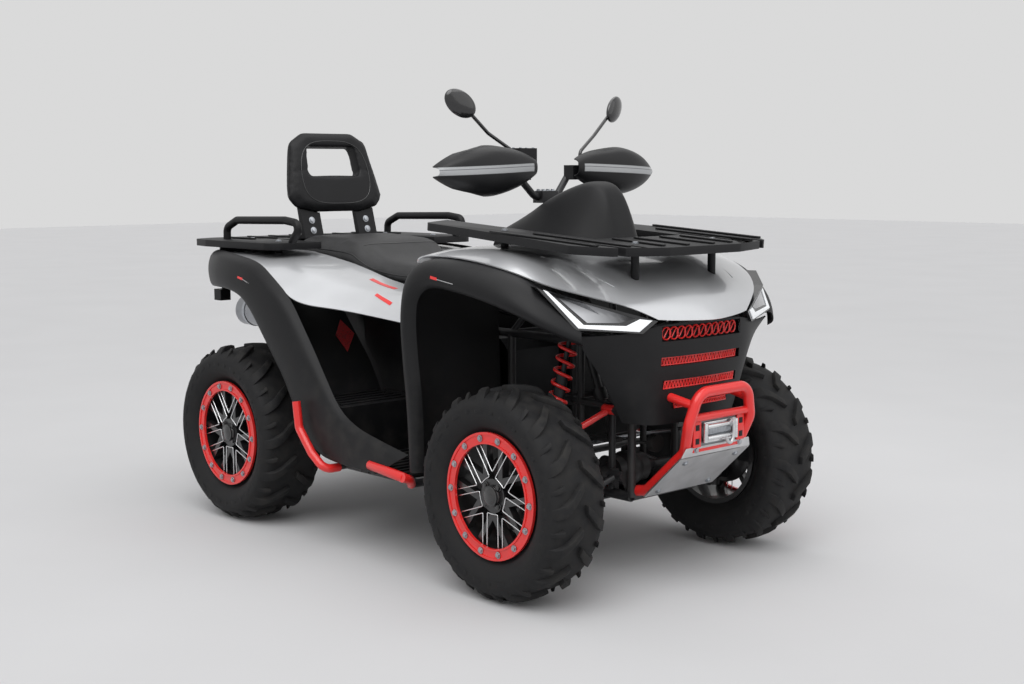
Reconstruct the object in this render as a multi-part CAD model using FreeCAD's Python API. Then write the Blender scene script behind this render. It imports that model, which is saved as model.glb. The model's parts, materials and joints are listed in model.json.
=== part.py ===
# Long-wheelbase quad bike: a steel tube chassis with plastic bodywork, four low-pressure
# tyres on double A-arms, a steered front axle, racks, a two-up seat and a winch bumper.
# Millimetres. +X is forward, +Y is the rider's left, +Z is up. The origin is on the ground,
# at the middle of the length and width.
import FreeCAD, Part
import math
import os

V = FreeCAD.Vector
X_AXIS = V(1, 0, 0)
Y_AXIS = V(0, 1, 0)
Z_AXIS = V(0, 0, 1)

# Driving dimensions
wheelbase = 1480.0
half_length = 1175.0
front_overhang = 425.0
half_width = 600.0
deck_height = 1000.0
front_axle_x = half_length - front_overhang
rear_axle_x = front_axle_x - wheelbase
panel_wall = 4.0
plate_wall = 6.0
overrun = 5.0
seat_gap = 0.3
lower_rail_z = 285.0

# Places along the bike are measured from an axle, in values named from_front and from_rear.
# Places across are measured from the body's side, in values named from_side. Heights are
# measured from the deck or the lower rails, in values named over_deck and over_rail.

# Wheels
tyre_radius = 330.0
front_tyre_width = 228.0
rear_tyre_width = 266.0
front_outer_from_side = 29.0
front_outer_y = half_width + front_outer_from_side
rear_outer_from_side = 38.0
rear_outer_y = half_width + rear_outer_from_side
bead_radius = 183.0
tyre_wall = 16.0
bead_gap = 3.0
tyre_sectors = 30
lug_count = 15
flat_limit = 0.001
lug_reach = 100.0
bead_inset = 42.0
# a lug's stations: the distance in from the tyre's edge as a share of the lug reach, tip and
# root as shares of the tyre radius, then the lead and the width in degrees
lug_station_shares = [
    (1.04, 1.000, 0.905, 0.0, 6.5), (0.62, 0.996, 0.905, 8.0, 7.5),
    (0.28, 0.950, 0.86, 12.0, 8.5), (0.06, 0.845, 0.79, 13.0, 8.5),
]
# the carcass: shares of the tyre radius, and of the lug reach in from the tyre's edge
carcass_shares = [(0.69, 0.04), (0.80, 0.0), (0.89, 0.16), (0.93, 0.44)]
carcass_inner_shares = (0.86, 0.34)
rim_wall = 7.0
rim_lip = 8.0
rim_heel = 2.0
bead_ring_outer = 196.0
bead_ring_inner = 160.0
bead_ring_thickness = 10.0
bead_ring_outer_step = 8.0
bead_ring_inner_step = 6.0
bead_ring_recess = 3.0
bead_bolt_count = 14
bead_bolt_radius = 7.0
bead_bolt_length = 6.0
bead_bolt_sink = 5.0
spoke_count = 5
spoke_width = 26.0
spoke_depth = 26.0
spoke_inset = 6.0
spoke_fork_share = 0.42
spoke_spread_degrees = 24.0
hub_radius = 52.0
hub_cap_radius = 32.0
hub_cap_height = 14.0
hub_back_y = -3.0
hub_overlap = 2.0
spindle_end_y = -37.0
spindle_radius = 22.0
spindle_clearance = 0.05
disc_radius = 118.0
disc_inner_radius = 48.0
disc_thickness = 5.0

# Knuckles, arms and steering linkage
kingpin_from_side = -145.0
kingpin_y = half_width + kingpin_from_side
ball_height = 108.0
eye_radius = 19.0
eye_height = 24.0
pin_radius = 8.0
pin_clearance = 0.05
joint_gap = 0.5
pin_overlength = 2.0
knuckle_wall = 24.0
knuckle_back_y = 23.0
knuckle_front_y = 41.0
knuckle_half_width = 30.0
knuckle_boss_radius = 18.0
knuckle_ring_radius = 44.0
knuckle_ring_front_y = 45.0
caliper_bite = 42.0
caliper_rise = 16.0
caliper_bridge = 6.0
caliper_root = 5.0
caliper_half_height = 28.0
caliper_inner_y = 34.0
caliper_inner_thickness = 13.0
caliper_outer_y = 62.0
caliper_outer_thickness = 10.0
shaft_radius = 13.0
joint_ball_radius = 16.0
joint_boot_radius = 30.0
differential_radius = 60.7
differential_half_width = 70.0
differential_nose_length = 40.0
differential_nose_radius = 30.0
inner_boot_length = 60.0
inner_boot_wall = 4.0
outer_boot_length = 45.0
outer_boot_start = 80.0
outer_boot_wall = 3.0
arm_tube_radius = 12.0
arm_inner_spread = 120.0
arm_kink = 40.0
arm_bend = 20.0
lower_pivot_y = 170.0
lower_pivot_z = 350.0
upper_pivot_y = 205.0
upper_pivot_z = 565.0
pivot_tube_radius = 15.0
pivot_tube_length = 46.0
steer_arm_root = 10.0
steer_arm_half_depth = 12.0
steer_arm_thickness = 12.0
steer_arm_half_width = 16.0
steer_pin_drag = 90.0
steer_pin_offset = 20.0
steer_pin_length = 30.0
rod_radius = 6.5
rod_eye_radius = 14.0
rod_eye_lip = 2.0
open_eye_wall = 7.0
pitman_drag = 97.0
pitman_pin_radius = 6.0
pitman_pin_clearance = 5.0
pitman_gap = 5.0
pitman_pin_y = 20.0
pitman_pin_length = 36.0
pitman_front_reach = 22.0
pitman_front_half = 20.0
pitman_rear_reach = 12.0
pitman_rear_half = 34.0
pitman_corner = 8.0

# Shock absorbers
shock_upper_y = 280.0
shock_pin_radius = 9.0
shock_eye_radius = 16.0
shock_eye_length = 30.0
shock_drop = 110.0
shock_lean_x = 30.0
spring_radius = 33.0
spring_wire_radius = 5.5
spring_turns = 7
damper_body_radius = 19.0
damper_rod_radius = 8.0
spring_seat_thickness = 6.0
spring_start_share = 0.10
spring_end_share = 0.89
damper_body_share = 0.55
damper_rod_share = 0.54

# Chassis
rail_radius = 16.0
rail_half_gap = 150.0
upper_rail_share = 0.76
upper_rail_z = deck_height * upper_rail_share
shock_upper_over_rail = 70.0
shock_upper_height = upper_rail_z + shock_upper_over_rail
outrigger_radius = 13.0
outrigger_reach_from_side = -40.0
outrigger_reach = half_width + outrigger_reach_from_side
outrigger_inset = 30.0
outrigger_rise = 8.0
outrigger_front_from_front = -430.0
outrigger_front_x = front_axle_x + outrigger_front_from_front
outrigger_rear_from_rear = 650.0
outrigger_rear_x = rear_axle_x + outrigger_rear_from_rear
upright_share = 0.72
rail_front_reach = 165.0
rail_rear_reach = 210.0
rail_bend = 60.0
rail_front_run = 450.0
rail_kink_from_rear = 170.0
rail_kink_x = rear_axle_x + rail_kink_from_rear
rail_overhang = 60.0
rail_rear_rise = 90.0
front_post_from_front = -390.0
front_post_x = front_axle_x + front_post_from_front
middle_post_from_rear = 260.0
middle_post_x = rear_axle_x + middle_post_from_rear
middle_post_rise = 60.0
middle_cross_rise = 50.0
front_cross_drop = 30.0
rear_cross_overhang = 20.0
upright_rear = 60.0
upright_front = 80.0
mount_ear = 20.0
lower_mount_shares = (0.7, 1.1, 0.7)
upper_mount_shares = (0.5, 0.9, 0.6)
mount_rail_end = 4.0
engine_cross_rear_from_rear = 530.0
engine_cross_rear_x = rear_axle_x + engine_cross_rear_from_rear
engine_cross_front_from_front = -550.0
engine_cross_front_x = front_axle_x + engine_cross_front_from_front
collar_high_over_deck = -5.0
collar_high_z = deck_height + collar_high_over_deck
collar_stay_radius = 11.0
collar_web_half_height = 8.0
collar_web_half_width = 12.0
engine_half_width = 122.0
engine_rear_from_rear = 400.0
engine_rear_x = rear_axle_x + engine_rear_from_rear
engine_front_from_front = -440.0
engine_front_x = front_axle_x + engine_front_from_front
engine_height_share = 0.43
engine_clearance = 0.0
engine_chamfer = 40.0
skid_thickness = 6.0
skid_half_width = 185.0
skid_overhang = 60.0


def at(x_share, y_share, z_share):
    """A point of the bodywork: shares of the wheelbase ahead of the rear axle, of the half width and of the deck height."""
    return V(rear_axle_x + x_share * wheelbase, y_share * half_width, z_share * deck_height)


def mirrored(shape):
    """The same shape on the other side of the bike."""
    return shape.mirror(V(0, 0, 0), Y_AXIS)


def both_sides(shape):
    """A left and a right piece, which don't touch."""
    return Part.makeCompound([shape, mirrored(shape)])


def fused(shapes):
    """One solid from shapes that overlap."""
    whole = shapes[0].multiFuse(shapes[1:]) if len(shapes) > 1 else shapes[0]
    return whole.removeSplitter()


def solids_of(shape):
    """The shape as a compound of its solids, without the shells a cut can leave."""
    return Part.makeCompound(shape.Solids)


def largest(shape):
    """The biggest solid of a shape that a cut has parted."""
    return max(shape.Solids, key=lambda solid: solid.Volume)


def save(name, shape):
    """Writes one named piece."""
    os.makedirs("parts", exist_ok=True)
    shape.exportStep("parts/" + name + ".step")
    print(name, len(shape.Solids), shape.isValid(), round(shape.Volume))


def rod(start, end, radius):
    """A round bar between two points."""
    return Part.makeCylinder(radius, (end - start).Length, start, end - start)


def block(low, high):
    """A rectangular block between two corners."""
    return Part.makeBox(high.x - low.x, high.y - low.y, high.z - low.z, low)


def bent_path(points, bend):
    """A wire of straight runs joined by tangent arcs of one bend radius, or less where a run is short."""
    edges = []
    start = points[0]
    for i in range(1, len(points) - 1):
        corner = points[i]
        into = (corner - points[i - 1]).normalize()
        out = (points[i + 1] - corner).normalize()
        turn = into.getAngle(out)
        reach = bend * math.tan(turn / 2)
        limit = min((corner - start).Length, (points[i + 1] - corner).Length / 2) * 0.98
        reach = min(reach, limit)
        radius = reach / math.tan(turn / 2)
        first = corner - into * reach
        last = corner + out * reach
        inward = (out - into).normalize()
        centre = corner + inward * math.hypot(radius, reach)
        middle = centre - inward * radius
        edges.append(Part.LineSegment(start, first).toShape())
        edges.append(Part.Arc(first, middle, last).toShape())
        start = last
    edges.append(Part.LineSegment(start, points[-1]).toShape())
    return Part.Wire(edges)


def tube(points, radius, bend):
    """A round tube bent along the points."""
    path = bent_path(points, bend)
    along = (points[1] - points[0]).normalize()
    section = Part.Wire([Part.makeCircle(radius, points[0], along)])
    return path.makePipeShell([section], True, False)


def outline(points, bend=0.0):
    """A closed plane wire through the points, its corners rounded."""
    if bend == 0:
        return Part.makePolygon(points + [points[0]])
    edges = []
    count = len(points)
    ends = []
    for i in range(count):
        corner = points[i]
        into = (corner - points[i - 1]).normalize()
        out = (points[(i + 1) % count] - corner).normalize()
        turn = into.getAngle(out)
        shortest = min((corner - points[i - 1]).Length, (points[(i + 1) % count] - corner).Length)
        reach = min(bend * math.tan(turn / 2), shortest * 0.45)
        radius = reach / math.tan(turn / 2)
        inward = (out - into).normalize()
        centre = corner + inward * math.hypot(radius, reach)
        ends.append((corner - into * reach, centre - inward * radius, corner + out * reach))
    for i in range(count):
        first, middle, last = ends[i]
        edges.append(Part.Arc(first, middle, last).toShape())
        edges.append(Part.LineSegment(last, ends[(i + 1) % count][0]).toShape())
    return Part.Wire(edges)


def prism(points, thickness, bend=0.0):
    """A plate: the outline pushed through a thickness vector."""
    return Part.Face(outline(points, bend)).extrude(thickness)


def grid_normals(grid):
    """The unit normal at each point of a grid of points, from its neighbours."""
    rows = len(grid)
    columns = len(grid[0])
    normals = []
    for i in range(rows):
        line = []
        for j in range(columns):
            along = grid[min(i + 1, rows - 1)][j] - grid[max(i - 1, 0)][j]
            across = grid[i][min(j + 1, columns - 1)] - grid[i][max(j - 1, 0)]
            line.append(along.cross(across).normalize())
        normals.append(line)
    return normals


def knots_for(count, degree):
    """Evenly spaced knots, and how often each counts, for a clamped curve of that many poles."""
    spans = count - degree
    knots = [float(i) for i in range(spans + 1)]
    mults = [degree + 1] + [1] * (spans - 1) + [degree + 1]
    return knots, mults


def surface_along(grid, row_degree=2, column_degree=2):
    """A smooth surface that follows a grid of points as a fitted sheet, drawn just inside its corners."""
    row_knots, row_mults = knots_for(len(grid), row_degree)
    column_knots, column_mults = knots_for(len(grid[0]), column_degree)
    surface = Part.BSplineSurface()
    surface.buildFromPolesMultsKnots(
        grid, row_mults, column_mults, row_knots, column_knots, False, False, row_degree, column_degree)
    return surface.toShape()


def panel(grid, wall):
    """A moulded panel: a smooth surface along a grid of points, with a wall behind it.
    A positive wall goes to the side that the grid's rows crossed with its columns point to."""
    normals = grid_normals(grid)
    back = [[p + n * wall for p, n in zip(row, line)] for row, line in zip(grid, normals)]
    faces = [surface_along(grid), surface_along(back)]
    for end in (0, -1):
        faces.append(surface_along([grid[end], back[end]], 1, 2))
        first = [row[end] for row in grid]
        second = [row[end] for row in back]
        faces.append(surface_along([first, second], 1, 2))
    shell = Part.makeShell(faces)
    shell.sewShape()
    solid = Part.makeSolid(shell)
    if solid.Volume < 0:
        solid.reverse()
    return solid


def across(half_row):
    """A row of points from the right edge to the left edge, from its half that starts on the centre line."""
    right = [V(p.x, -p.y, p.z) for p in reversed(half_row[1:])]
    return right + half_row


def body_rows(table):
    """Bodywork points from a table of rows of shares."""
    return [[at(*shares) for shares in row] for row in table]


# Bodywork tables: every entry is shares of the wheelbase, the half width and the deck height.
hood_row_shares = [
    [(0.545, 0.00, 1.030), (0.545, 0.14, 1.026), (0.548, 0.28, 1.012), (0.552, 0.40, 0.978), (0.556, 0.50, 0.930)],
    [(0.640, 0.00, 1.052), (0.640, 0.18, 1.051), (0.640, 0.38, 1.046), (0.640, 0.60, 1.034), (0.640, 0.76, 1.005)],
    [(0.740, 0.00, 1.062), (0.740, 0.22, 1.062), (0.740, 0.48, 1.064), (0.740, 0.74, 1.060), (0.740, 0.90, 1.046)],
    [(0.880, 0.00, 1.058), (0.880, 0.22, 1.058), (0.880, 0.48, 1.060), (0.880, 0.72, 1.056), (0.885, 0.89, 1.040)],
    [(1.005, 0.00, 1.040), (1.005, 0.22, 1.040), (1.005, 0.44, 1.038), (1.005, 0.68, 1.028), (1.000, 0.85, 1.008)],
    [(1.110, 0.00, 1.012), (1.108, 0.20, 1.009), (1.104, 0.38, 0.999), (1.092, 0.60, 0.984), (1.080, 0.79, 0.967)],
    [(1.190, 0.00, 0.960), (1.186, 0.16, 0.956), (1.180, 0.32, 0.945), (1.168, 0.48, 0.934), (1.155, 0.62, 0.930)],
    [(1.236, 0.00, 0.900), (1.232, 0.12, 0.899), (1.224, 0.25, 0.896), (1.212, 0.37, 0.894), (1.198, 0.47, 0.900)],
    [(1.252, 0.00, 0.852), (1.247, 0.09, 0.853), (1.238, 0.18, 0.855), (1.228, 0.27, 0.857), (1.219, 0.35, 0.862)],
]
fender_row_shares = [
    # inner edge, then the corner, then the outer skin, then the arch lip
    [(0.722, 0.30, 0.345), (0.722, 0.72, 0.345), (0.724, 0.96, 0.345), (0.740, 1.00, 0.345), (0.754, 0.995, 0.345), (0.760, 0.95, 0.345)],
    [(0.722, 0.30, 0.450), (0.722, 0.72, 0.450), (0.724, 0.965, 0.450), (0.742, 1.01, 0.450), (0.759, 1.00, 0.450), (0.765, 0.955, 0.450)],
    [(0.720, 0.30, 0.580), (0.720, 0.72, 0.580), (0.722, 0.98, 0.580), (0.744, 1.025, 0.585), (0.766, 1.02, 0.590), (0.770, 0.975, 0.590)],
    [(0.716, 0.30, 0.720), (0.716, 0.72, 0.720), (0.718, 0.99, 0.720), (0.736, 1.035, 0.720), (0.756, 1.03, 0.720), (0.762, 0.985, 0.715)],
    [(0.712, 0.30, 0.840), (0.712, 0.72, 0.860), (0.714, 0.99, 0.860), (0.730, 1.04, 0.850), (0.750, 1.035, 0.838), (0.758, 0.99, 0.832)],
    [(0.722, 0.30, 0.930), (0.722, 0.72, 0.985), (0.726, 0.97, 0.990), (0.742, 1.035, 0.958), (0.762, 1.04, 0.920), (0.770, 1.00, 0.912)],
    [(0.768, 0.30, 0.960), (0.768, 0.72, 1.024), (0.772, 0.94, 1.036), (0.782, 1.025, 1.010), (0.806, 1.035, 0.962), (0.810, 1.00, 0.952)],
    [(0.860, 0.30, 0.970), (0.860, 0.72, 1.022), (0.860, 0.91, 1.034), (0.866, 1.01, 1.006), (0.872, 1.03, 0.958), (0.873, 1.00, 0.948)],
    [(0.960, 0.36, 0.965), (0.960, 0.72, 1.000), (0.962, 0.885, 1.014), (0.962, 0.985, 0.984), (0.958, 1.01, 0.938), (0.957, 0.985, 0.928)],
    [(1.040, 0.46, 0.950), (1.042, 0.70, 0.960), (1.046, 0.85, 0.984), (1.052, 0.945, 0.942), (1.052, 0.975, 0.900), (1.050, 0.945, 0.890)],
    [(1.085, 0.46, 0.880), (1.095, 0.66, 0.890), (1.112, 0.82, 0.905), (1.122, 0.88, 0.872), (1.124, 0.89, 0.845), (1.120, 0.86, 0.835)],
    [(1.110, 0.44, 0.800), (1.130, 0.60, 0.812), (1.156, 0.745, 0.838), (1.164, 0.76, 0.820), (1.164, 0.755, 0.800), (1.158, 0.73, 0.795)],
]
swoosh_row_shares = [
    # wheel-arch lip, skin, then the top or front edge and its lip
    [(-0.200, 0.76, 0.862), (-0.200, 0.80, 0.856), (-0.200, 0.825, 0.905), (-0.200, 0.825, 0.955), (-0.200, 0.79, 1.000), (-0.200, 0.74, 1.004)],
    [(-0.108, 0.87, 0.872), (-0.108, 0.915, 0.864), (-0.108, 0.945, 0.910), (-0.108, 0.940, 0.960), (-0.108, 0.905, 1.006), (-0.108, 0.85, 1.010)],
    [(-0.007, 0.945, 0.876), (-0.007, 0.985, 0.868), (-0.006, 1.010, 0.910), (-0.003, 1.005, 0.955), (0.000, 0.970, 0.996), (0.000, 0.91, 1.000)],
    [(0.066, 0.965, 0.856), (0.068, 1.005, 0.848), (0.082, 1.025, 0.890), (0.098, 1.020, 0.935), (0.115, 0.990, 0.976), (0.115, 0.93, 0.982)],
    [(0.112, 0.970, 0.806), (0.115, 1.010, 0.798), (0.136, 1.028, 0.840), (0.160, 1.026, 0.882), (0.184, 0.998, 0.922), (0.184, 0.94, 0.928)],
    [(0.160, 0.972, 0.724), (0.164, 1.012, 0.718), (0.192, 1.030, 0.766), (0.222, 1.024, 0.812), (0.250, 0.995, 0.858), (0.254, 0.94, 0.862)],
    [(0.204, 0.972, 0.652), (0.209, 1.012, 0.647), (0.240, 1.030, 0.680), (0.275, 1.024, 0.714), (0.312, 0.996, 0.750), (0.318, 0.95, 0.756)],
    [(0.244, 0.972, 0.586), (0.250, 1.012, 0.582), (0.284, 1.028, 0.606), (0.320, 1.024, 0.632), (0.360, 0.998, 0.662), (0.366, 0.95, 0.668)],
    [(0.274, 0.972, 0.502), (0.280, 1.002, 0.500), (0.318, 1.012, 0.524), (0.360, 1.012, 0.550), (0.404, 1.000, 0.578), (0.410, 0.955, 0.585)],
    [(0.316, 0.972, 0.412), (0.321, 1.000, 0.410), (0.362, 1.010, 0.436), (0.406, 1.010, 0.466), (0.452, 1.002, 0.496), (0.457, 0.96, 0.503)],
    [(0.364, 0.972, 0.340), (0.368, 1.000, 0.340), (0.414, 1.010, 0.374), (0.460, 1.010, 0.410), (0.508, 1.002, 0.446), (0.512, 0.96, 0.454)],
    [(0.440, 0.970, 0.308), (0.440, 1.004, 0.308), (0.490, 1.014, 0.346), (0.540, 1.014, 0.384), (0.590, 1.000, 0.416), (0.593, 0.96, 0.424)],
    [(0.600, 0.965, 0.306), (0.600, 1.000, 0.306), (0.640, 1.006, 0.330), (0.676, 1.006, 0.356), (0.710, 0.995, 0.384), (0.712, 0.955, 0.392)],
]
side_row_shares = [
    # along the seat, then out and down to the lower edge
    [(0.560, 0.34, 0.925), (0.560, 0.44, 0.905), (0.560, 0.56, 0.865), (0.560, 0.66, 0.790)],
    [(0.460, 0.32, 0.890), (0.460, 0.46, 0.884), (0.460, 0.60, 0.860), (0.460, 0.70, 0.806)],
    [(0.365, 0.32, 0.900), (0.365, 0.50, 0.898), (0.365, 0.67, 0.880), (0.365, 0.79, 0.826)],
    [(0.275, 0.34, 0.938), (0.275, 0.56, 0.932), (0.275, 0.78, 0.905), (0.275, 0.93, 0.842)],
    [(0.195, 0.37, 0.972), (0.195, 0.62, 0.966), (0.200, 0.82, 0.945), (0.210, 0.94, 0.896)],
    [(0.105, 0.40, 0.998), (0.105, 0.62, 0.994), (0.112, 0.80, 0.986), (0.125, 0.925, 0.962)],
    [(0.000, 0.41, 1.006), (0.000, 0.62, 1.004), (0.000, 0.80, 1.002), (0.002, 0.905, 0.990)],
    [(-0.108, 0.40, 1.004), (-0.108, 0.58, 1.004), (-0.108, 0.74, 1.004), (-0.108, 0.845, 0.998)],
    [(-0.186, 0.38, 0.996), (-0.186, 0.54, 0.998), (-0.186, 0.64, 1.000), (-0.186, 0.735, 0.994)],
]
rear_liner_path_shares = [
    # place along the wheelbase, height, outer edge
    (-0.186, 0.866, 0.73), (-0.108, 0.888, 0.84), (-0.007, 0.888, 0.92), (0.060, 0.868, 0.94), (0.110, 0.815, 0.94),
    (0.160, 0.735, 0.94), (0.205, 0.662, 0.94), (0.246, 0.595, 0.94), (0.280, 0.510, 0.94), (0.318, 0.425, 0.94), (0.345, 0.360, 0.94),
]
rear_liner_inner_share = 0.34
seat_flare_share = 0.05
seat_section_shares = [
    # place along the wheelbase, half width, underside, top
    (0.545, 0.130, 0.910, 1.004),
    (0.500, 0.200, 0.893, 0.992),
    (0.430, 0.250, 0.884, 0.962),
    (0.340, 0.300, 0.890, 0.960),
    (0.240, 0.345, 0.915, 0.985),
    (0.180, 0.370, 0.945, 1.035),
    (0.060, 0.385, 0.965, 1.048),
    (-0.070, 0.370, 0.970, 1.050),
]
backrest_outline_shares = [
    (-0.18, 0.00), (0.18, 0.00), (0.33, 0.06), (0.385, 0.18), (0.370, 0.36), (0.310, 0.88), (0.20, 1.00),
    (-0.20, 1.00), (-0.310, 0.88), (-0.370, 0.36), (-0.385, 0.18), (-0.33, 0.06),
]
backrest_window_shares = [(-0.215, 0.45), (0.215, 0.45), (0.195, 0.82), (-0.195, 0.82)]
backrest_layer_shares = [(0.0, 0.86), (0.30, 1.0), (0.65, 0.97), (1.0, 0.86)]
dome_row_shares = [
    [(0.690, 0.00, 1.130), (0.690, 0.10, 1.130), (0.692, 0.20, 1.115), (0.694, 0.28, 1.085), (0.694, 0.31, 1.035)],
    [(0.745, 0.00, 1.172), (0.745, 0.10, 1.170), (0.746, 0.18, 1.150), (0.748, 0.28, 1.098), (0.748, 0.32, 1.040)],
    [(0.800, 0.00, 1.222), (0.800, 0.09, 1.220), (0.800, 0.17, 1.196), (0.800, 0.27, 1.110), (0.800, 0.33, 1.040)],
    [(0.860, 0.00, 1.258), (0.860, 0.08, 1.256), (0.860, 0.14, 1.230), (0.860, 0.25, 1.120), (0.860, 0.32, 1.040)],
    [(0.920, 0.00, 1.278), (0.920, 0.07, 1.276), (0.922, 0.11, 1.250), (0.924, 0.20, 1.130), (0.924, 0.28, 1.035)],
    [(0.958, 0.00, 1.252), (0.958, 0.06, 1.248), (0.960, 0.09, 1.222), (0.964, 0.15, 1.120), (0.966, 0.21, 1.030)],
    [(0.982, 0.00, 1.180), (0.982, 0.05, 1.178), (0.984, 0.08, 1.160), (0.988, 0.12, 1.095), (0.990, 0.15, 1.025)],
    [(1.004, 0.00, 1.085), (1.004, 0.04, 1.084), (1.004, 0.06, 1.078), (1.006, 0.09, 1.055), (1.007, 0.11, 1.020)],
]
lamp_outer_shares = [(1.081, 0.867, 0.965), (1.153, 0.768, 0.842), (1.208, 0.433, 0.822), (1.221, 0.358, 0.858), (1.149, 0.717, 0.925)]
fascia_row_shares = [
    [(1.222, 0.00, 0.846), (1.219, 0.18, 0.846), (1.212, 0.34, 0.842), (1.190, 0.50, 0.818), (1.148, 0.74, 0.822)],
    [(1.222, 0.00, 0.800), (1.219, 0.20, 0.800), (1.210, 0.38, 0.790), (1.180, 0.54, 0.775), (1.136, 0.69, 0.780)],
    [(1.220, 0.00, 0.720), (1.217, 0.20, 0.720), (1.207, 0.37, 0.715), (1.180, 0.48, 0.705), (1.140, 0.58, 0.710)],
    [(1.216, 0.00, 0.630), (1.212, 0.19, 0.630), (1.202, 0.34, 0.628), (1.178, 0.42, 0.622), (1.140, 0.49, 0.625)],
    [(1.210, 0.00, 0.535), (1.206, 0.17, 0.535), (1.197, 0.29, 0.535), (1.178, 0.35, 0.535), (1.140, 0.40, 0.540)],
]
slot_height_shares = [(0.792, 0.838, 0.31), (0.716, 0.744, 0.31), (0.644, 0.672, 0.29), (0.582, 0.600, 0.22)]
front_rack_shares = [(0.545, 0.30, 1.0), (0.600, 0.60, 1.0), (0.760, 0.62, 1.0), (1.120, 0.725, 1.0), (1.188, 0.60, 1.0), (1.224, 0.28, 1.0)]
rear_rack_shares = [(0.110, 0.770, 1.0), (0.080, 0.83, 1.0), (-0.200, 0.840, 1.0), (-0.281, 0.80, 1.0), (-0.304, 0.64, 1.0)]

# Bodywork
tail_from_rear = -290.0
tail_x = rear_axle_x + tail_from_rear
tail_half_from_side = -155.0
tail_half = half_width + tail_half_from_side
hood_depth = 200.0
lamp_gap = 1.0
lamp_depth = 46.0
lamp_turn_share = 0.35
seat_edge_bend = 26.0

# Backrest
backrest_from_rear = -87.0
backrest_x = rear_axle_x + backrest_from_rear
backrest_over_deck = 150.0
backrest_z = deck_height + backrest_over_deck
backrest_height = 330.0
backrest_depth = 60.0
backrest_lean_share = 0.25
backrest_bend = 40.0
backrest_window_bend = 22.0
post_inner_y = 88.0
post_width = 90.0
post_height = 150.0
post_front = 2.0
post_foot_length = 64.0
post_foot_height = 8.0
post_heel_x = 26.0
post_heel_height = 14.0
post_top_front = 40.0
post_top_rear = 62.0

# Racks and rails
front_slot_rear_from_front = 70.0
front_slot_rear_x = front_axle_x + front_slot_rear_from_front
front_slot_front_from_front = 230.0
front_slot_front_x = front_axle_x + front_slot_front_from_front
front_slot_inner_y = 250.0
front_slot_pitch = 80.0
rear_slot_from_rear = -270.0
rear_slot_x = rear_axle_x + rear_slot_from_rear
rear_slot_pitch = 100.0
rear_slot_steps = 3
rack_opening_share = 0.34
rack_opening_end_from_front = 50.0
rack_opening_end = front_axle_x + rack_opening_end_from_front
rack_slope_run = 860.0
rack_slope_start_from_front = -550.0
rack_slope_start = front_axle_x + rack_slope_start_from_front
front_foot_from_front = 202.0
front_foot_x = front_axle_x + front_foot_from_front
front_foot_y = 182.0
back_foot_from_front = -270.0
back_foot_x = front_axle_x + back_foot_from_front
back_foot_from_side = -310.0
back_foot_y = half_width + back_foot_from_side
foot_low_over_deck = -40.0
foot_low_z = deck_height + foot_low_over_deck
rear_opening_share = 0.46
rear_opening_start_from_rear = -120.0
rear_opening_start = rear_axle_x + rear_opening_start_from_rear
rear_rack_back_foot_from_rear = -230.0
rear_rack_back_foot_x = rear_axle_x + rear_rack_back_foot_from_rear
rear_rack_back_foot_from_side = -270.0
rear_rack_back_foot_y = half_width + rear_rack_back_foot_from_side
rear_rack_front_foot_from_rear = 30.0
rear_rack_front_foot_x = rear_axle_x + rear_rack_front_foot_from_rear
rear_rack_front_foot_from_side = -220.0
rear_rack_front_foot_y = half_width + rear_rack_front_foot_from_side
rear_foot_drop = 26.0
rack_thickness = 26.0
rack_corner_bend = 45.0
front_rack_rear_over_deck = 106.0
front_rack_rear_z = deck_height + front_rack_rear_over_deck
front_rack_front_over_deck = 52.0
front_rack_front_z = deck_height + front_rack_front_over_deck
rear_rack_over_deck = 18.0
rear_rack_z = deck_height + rear_rack_over_deck
rear_post_from_rear = -200.0
rear_post_x = rear_axle_x + rear_post_from_rear
rack_slot_width = 26.0
rack_slot_length = 150.0
rack_foot_radius = 13.0
rail_tube_radius = 15.0
grab_rail_from_side = -200.0
grab_rail_y = half_width + grab_rail_from_side
grab_rail_rise = 82.0
grab_rail_bend = 30.0
grab_rail_back_from_rear = -305.0
grab_rail_back_x = rear_axle_x + grab_rail_back_from_rear
grab_rail_back_lean = 1.0
grab_rail_top_back_from_rear = -229.0
grab_rail_top_back_x = rear_axle_x + grab_rail_top_back_from_rear
grab_rail_top_front_from_rear = 107.0
grab_rail_top_front_x = rear_axle_x + grab_rail_top_front_from_rear
grab_rail_nose_from_rear = 216.0
grab_rail_nose_x = rear_axle_x + grab_rail_nose_from_rear
grab_rail_front_from_rear = 150.0
grab_rail_front_x = rear_axle_x + grab_rail_front_from_rear
bumper_tube_radius = 17.0
bumper_bend = 55.0
bumper_foot_from_front = 155.0
bumper_foot_x = front_axle_x + bumper_foot_from_front
bumper_foot_y = 135.0
bumper_foot_over_rail = 17.0
bumper_foot_z = lower_rail_z + bumper_foot_over_rail
bumper_heel_from_front = 216.0
bumper_heel_x = front_axle_x + bumper_heel_from_front
bumper_heel_over_rail = 27.5
bumper_heel_z = lower_rail_z + bumper_heel_over_rail
bumper_knee_from_front = 363.0
bumper_knee_x = front_axle_x + bumper_knee_from_front
bumper_knee_y = 128.0
bumper_knee_over_rail = 167.5
bumper_knee_z = lower_rail_z + bumper_knee_over_rail
bumper_waist_from_front = 393.0
bumper_waist_x = front_axle_x + bumper_waist_from_front
bumper_waist_y = 148.0
bumper_waist_over_rail = 255.0
bumper_waist_z = lower_rail_z + bumper_waist_over_rail
bumper_top_from_front = 406.0
bumper_top_x = front_axle_x + bumper_top_from_front
bumper_top_y = 116.0
bumper_top_over_rail = 355.0
bumper_top_z = lower_rail_z + bumper_top_over_rail
bumper_stay_over_rail = 360.0
bumper_stay_z = lower_rail_z + bumper_stay_over_rail
bumper_stay_end_from_front = 400.0
bumper_stay_end_x = front_axle_x + bumper_stay_end_from_front
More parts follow.
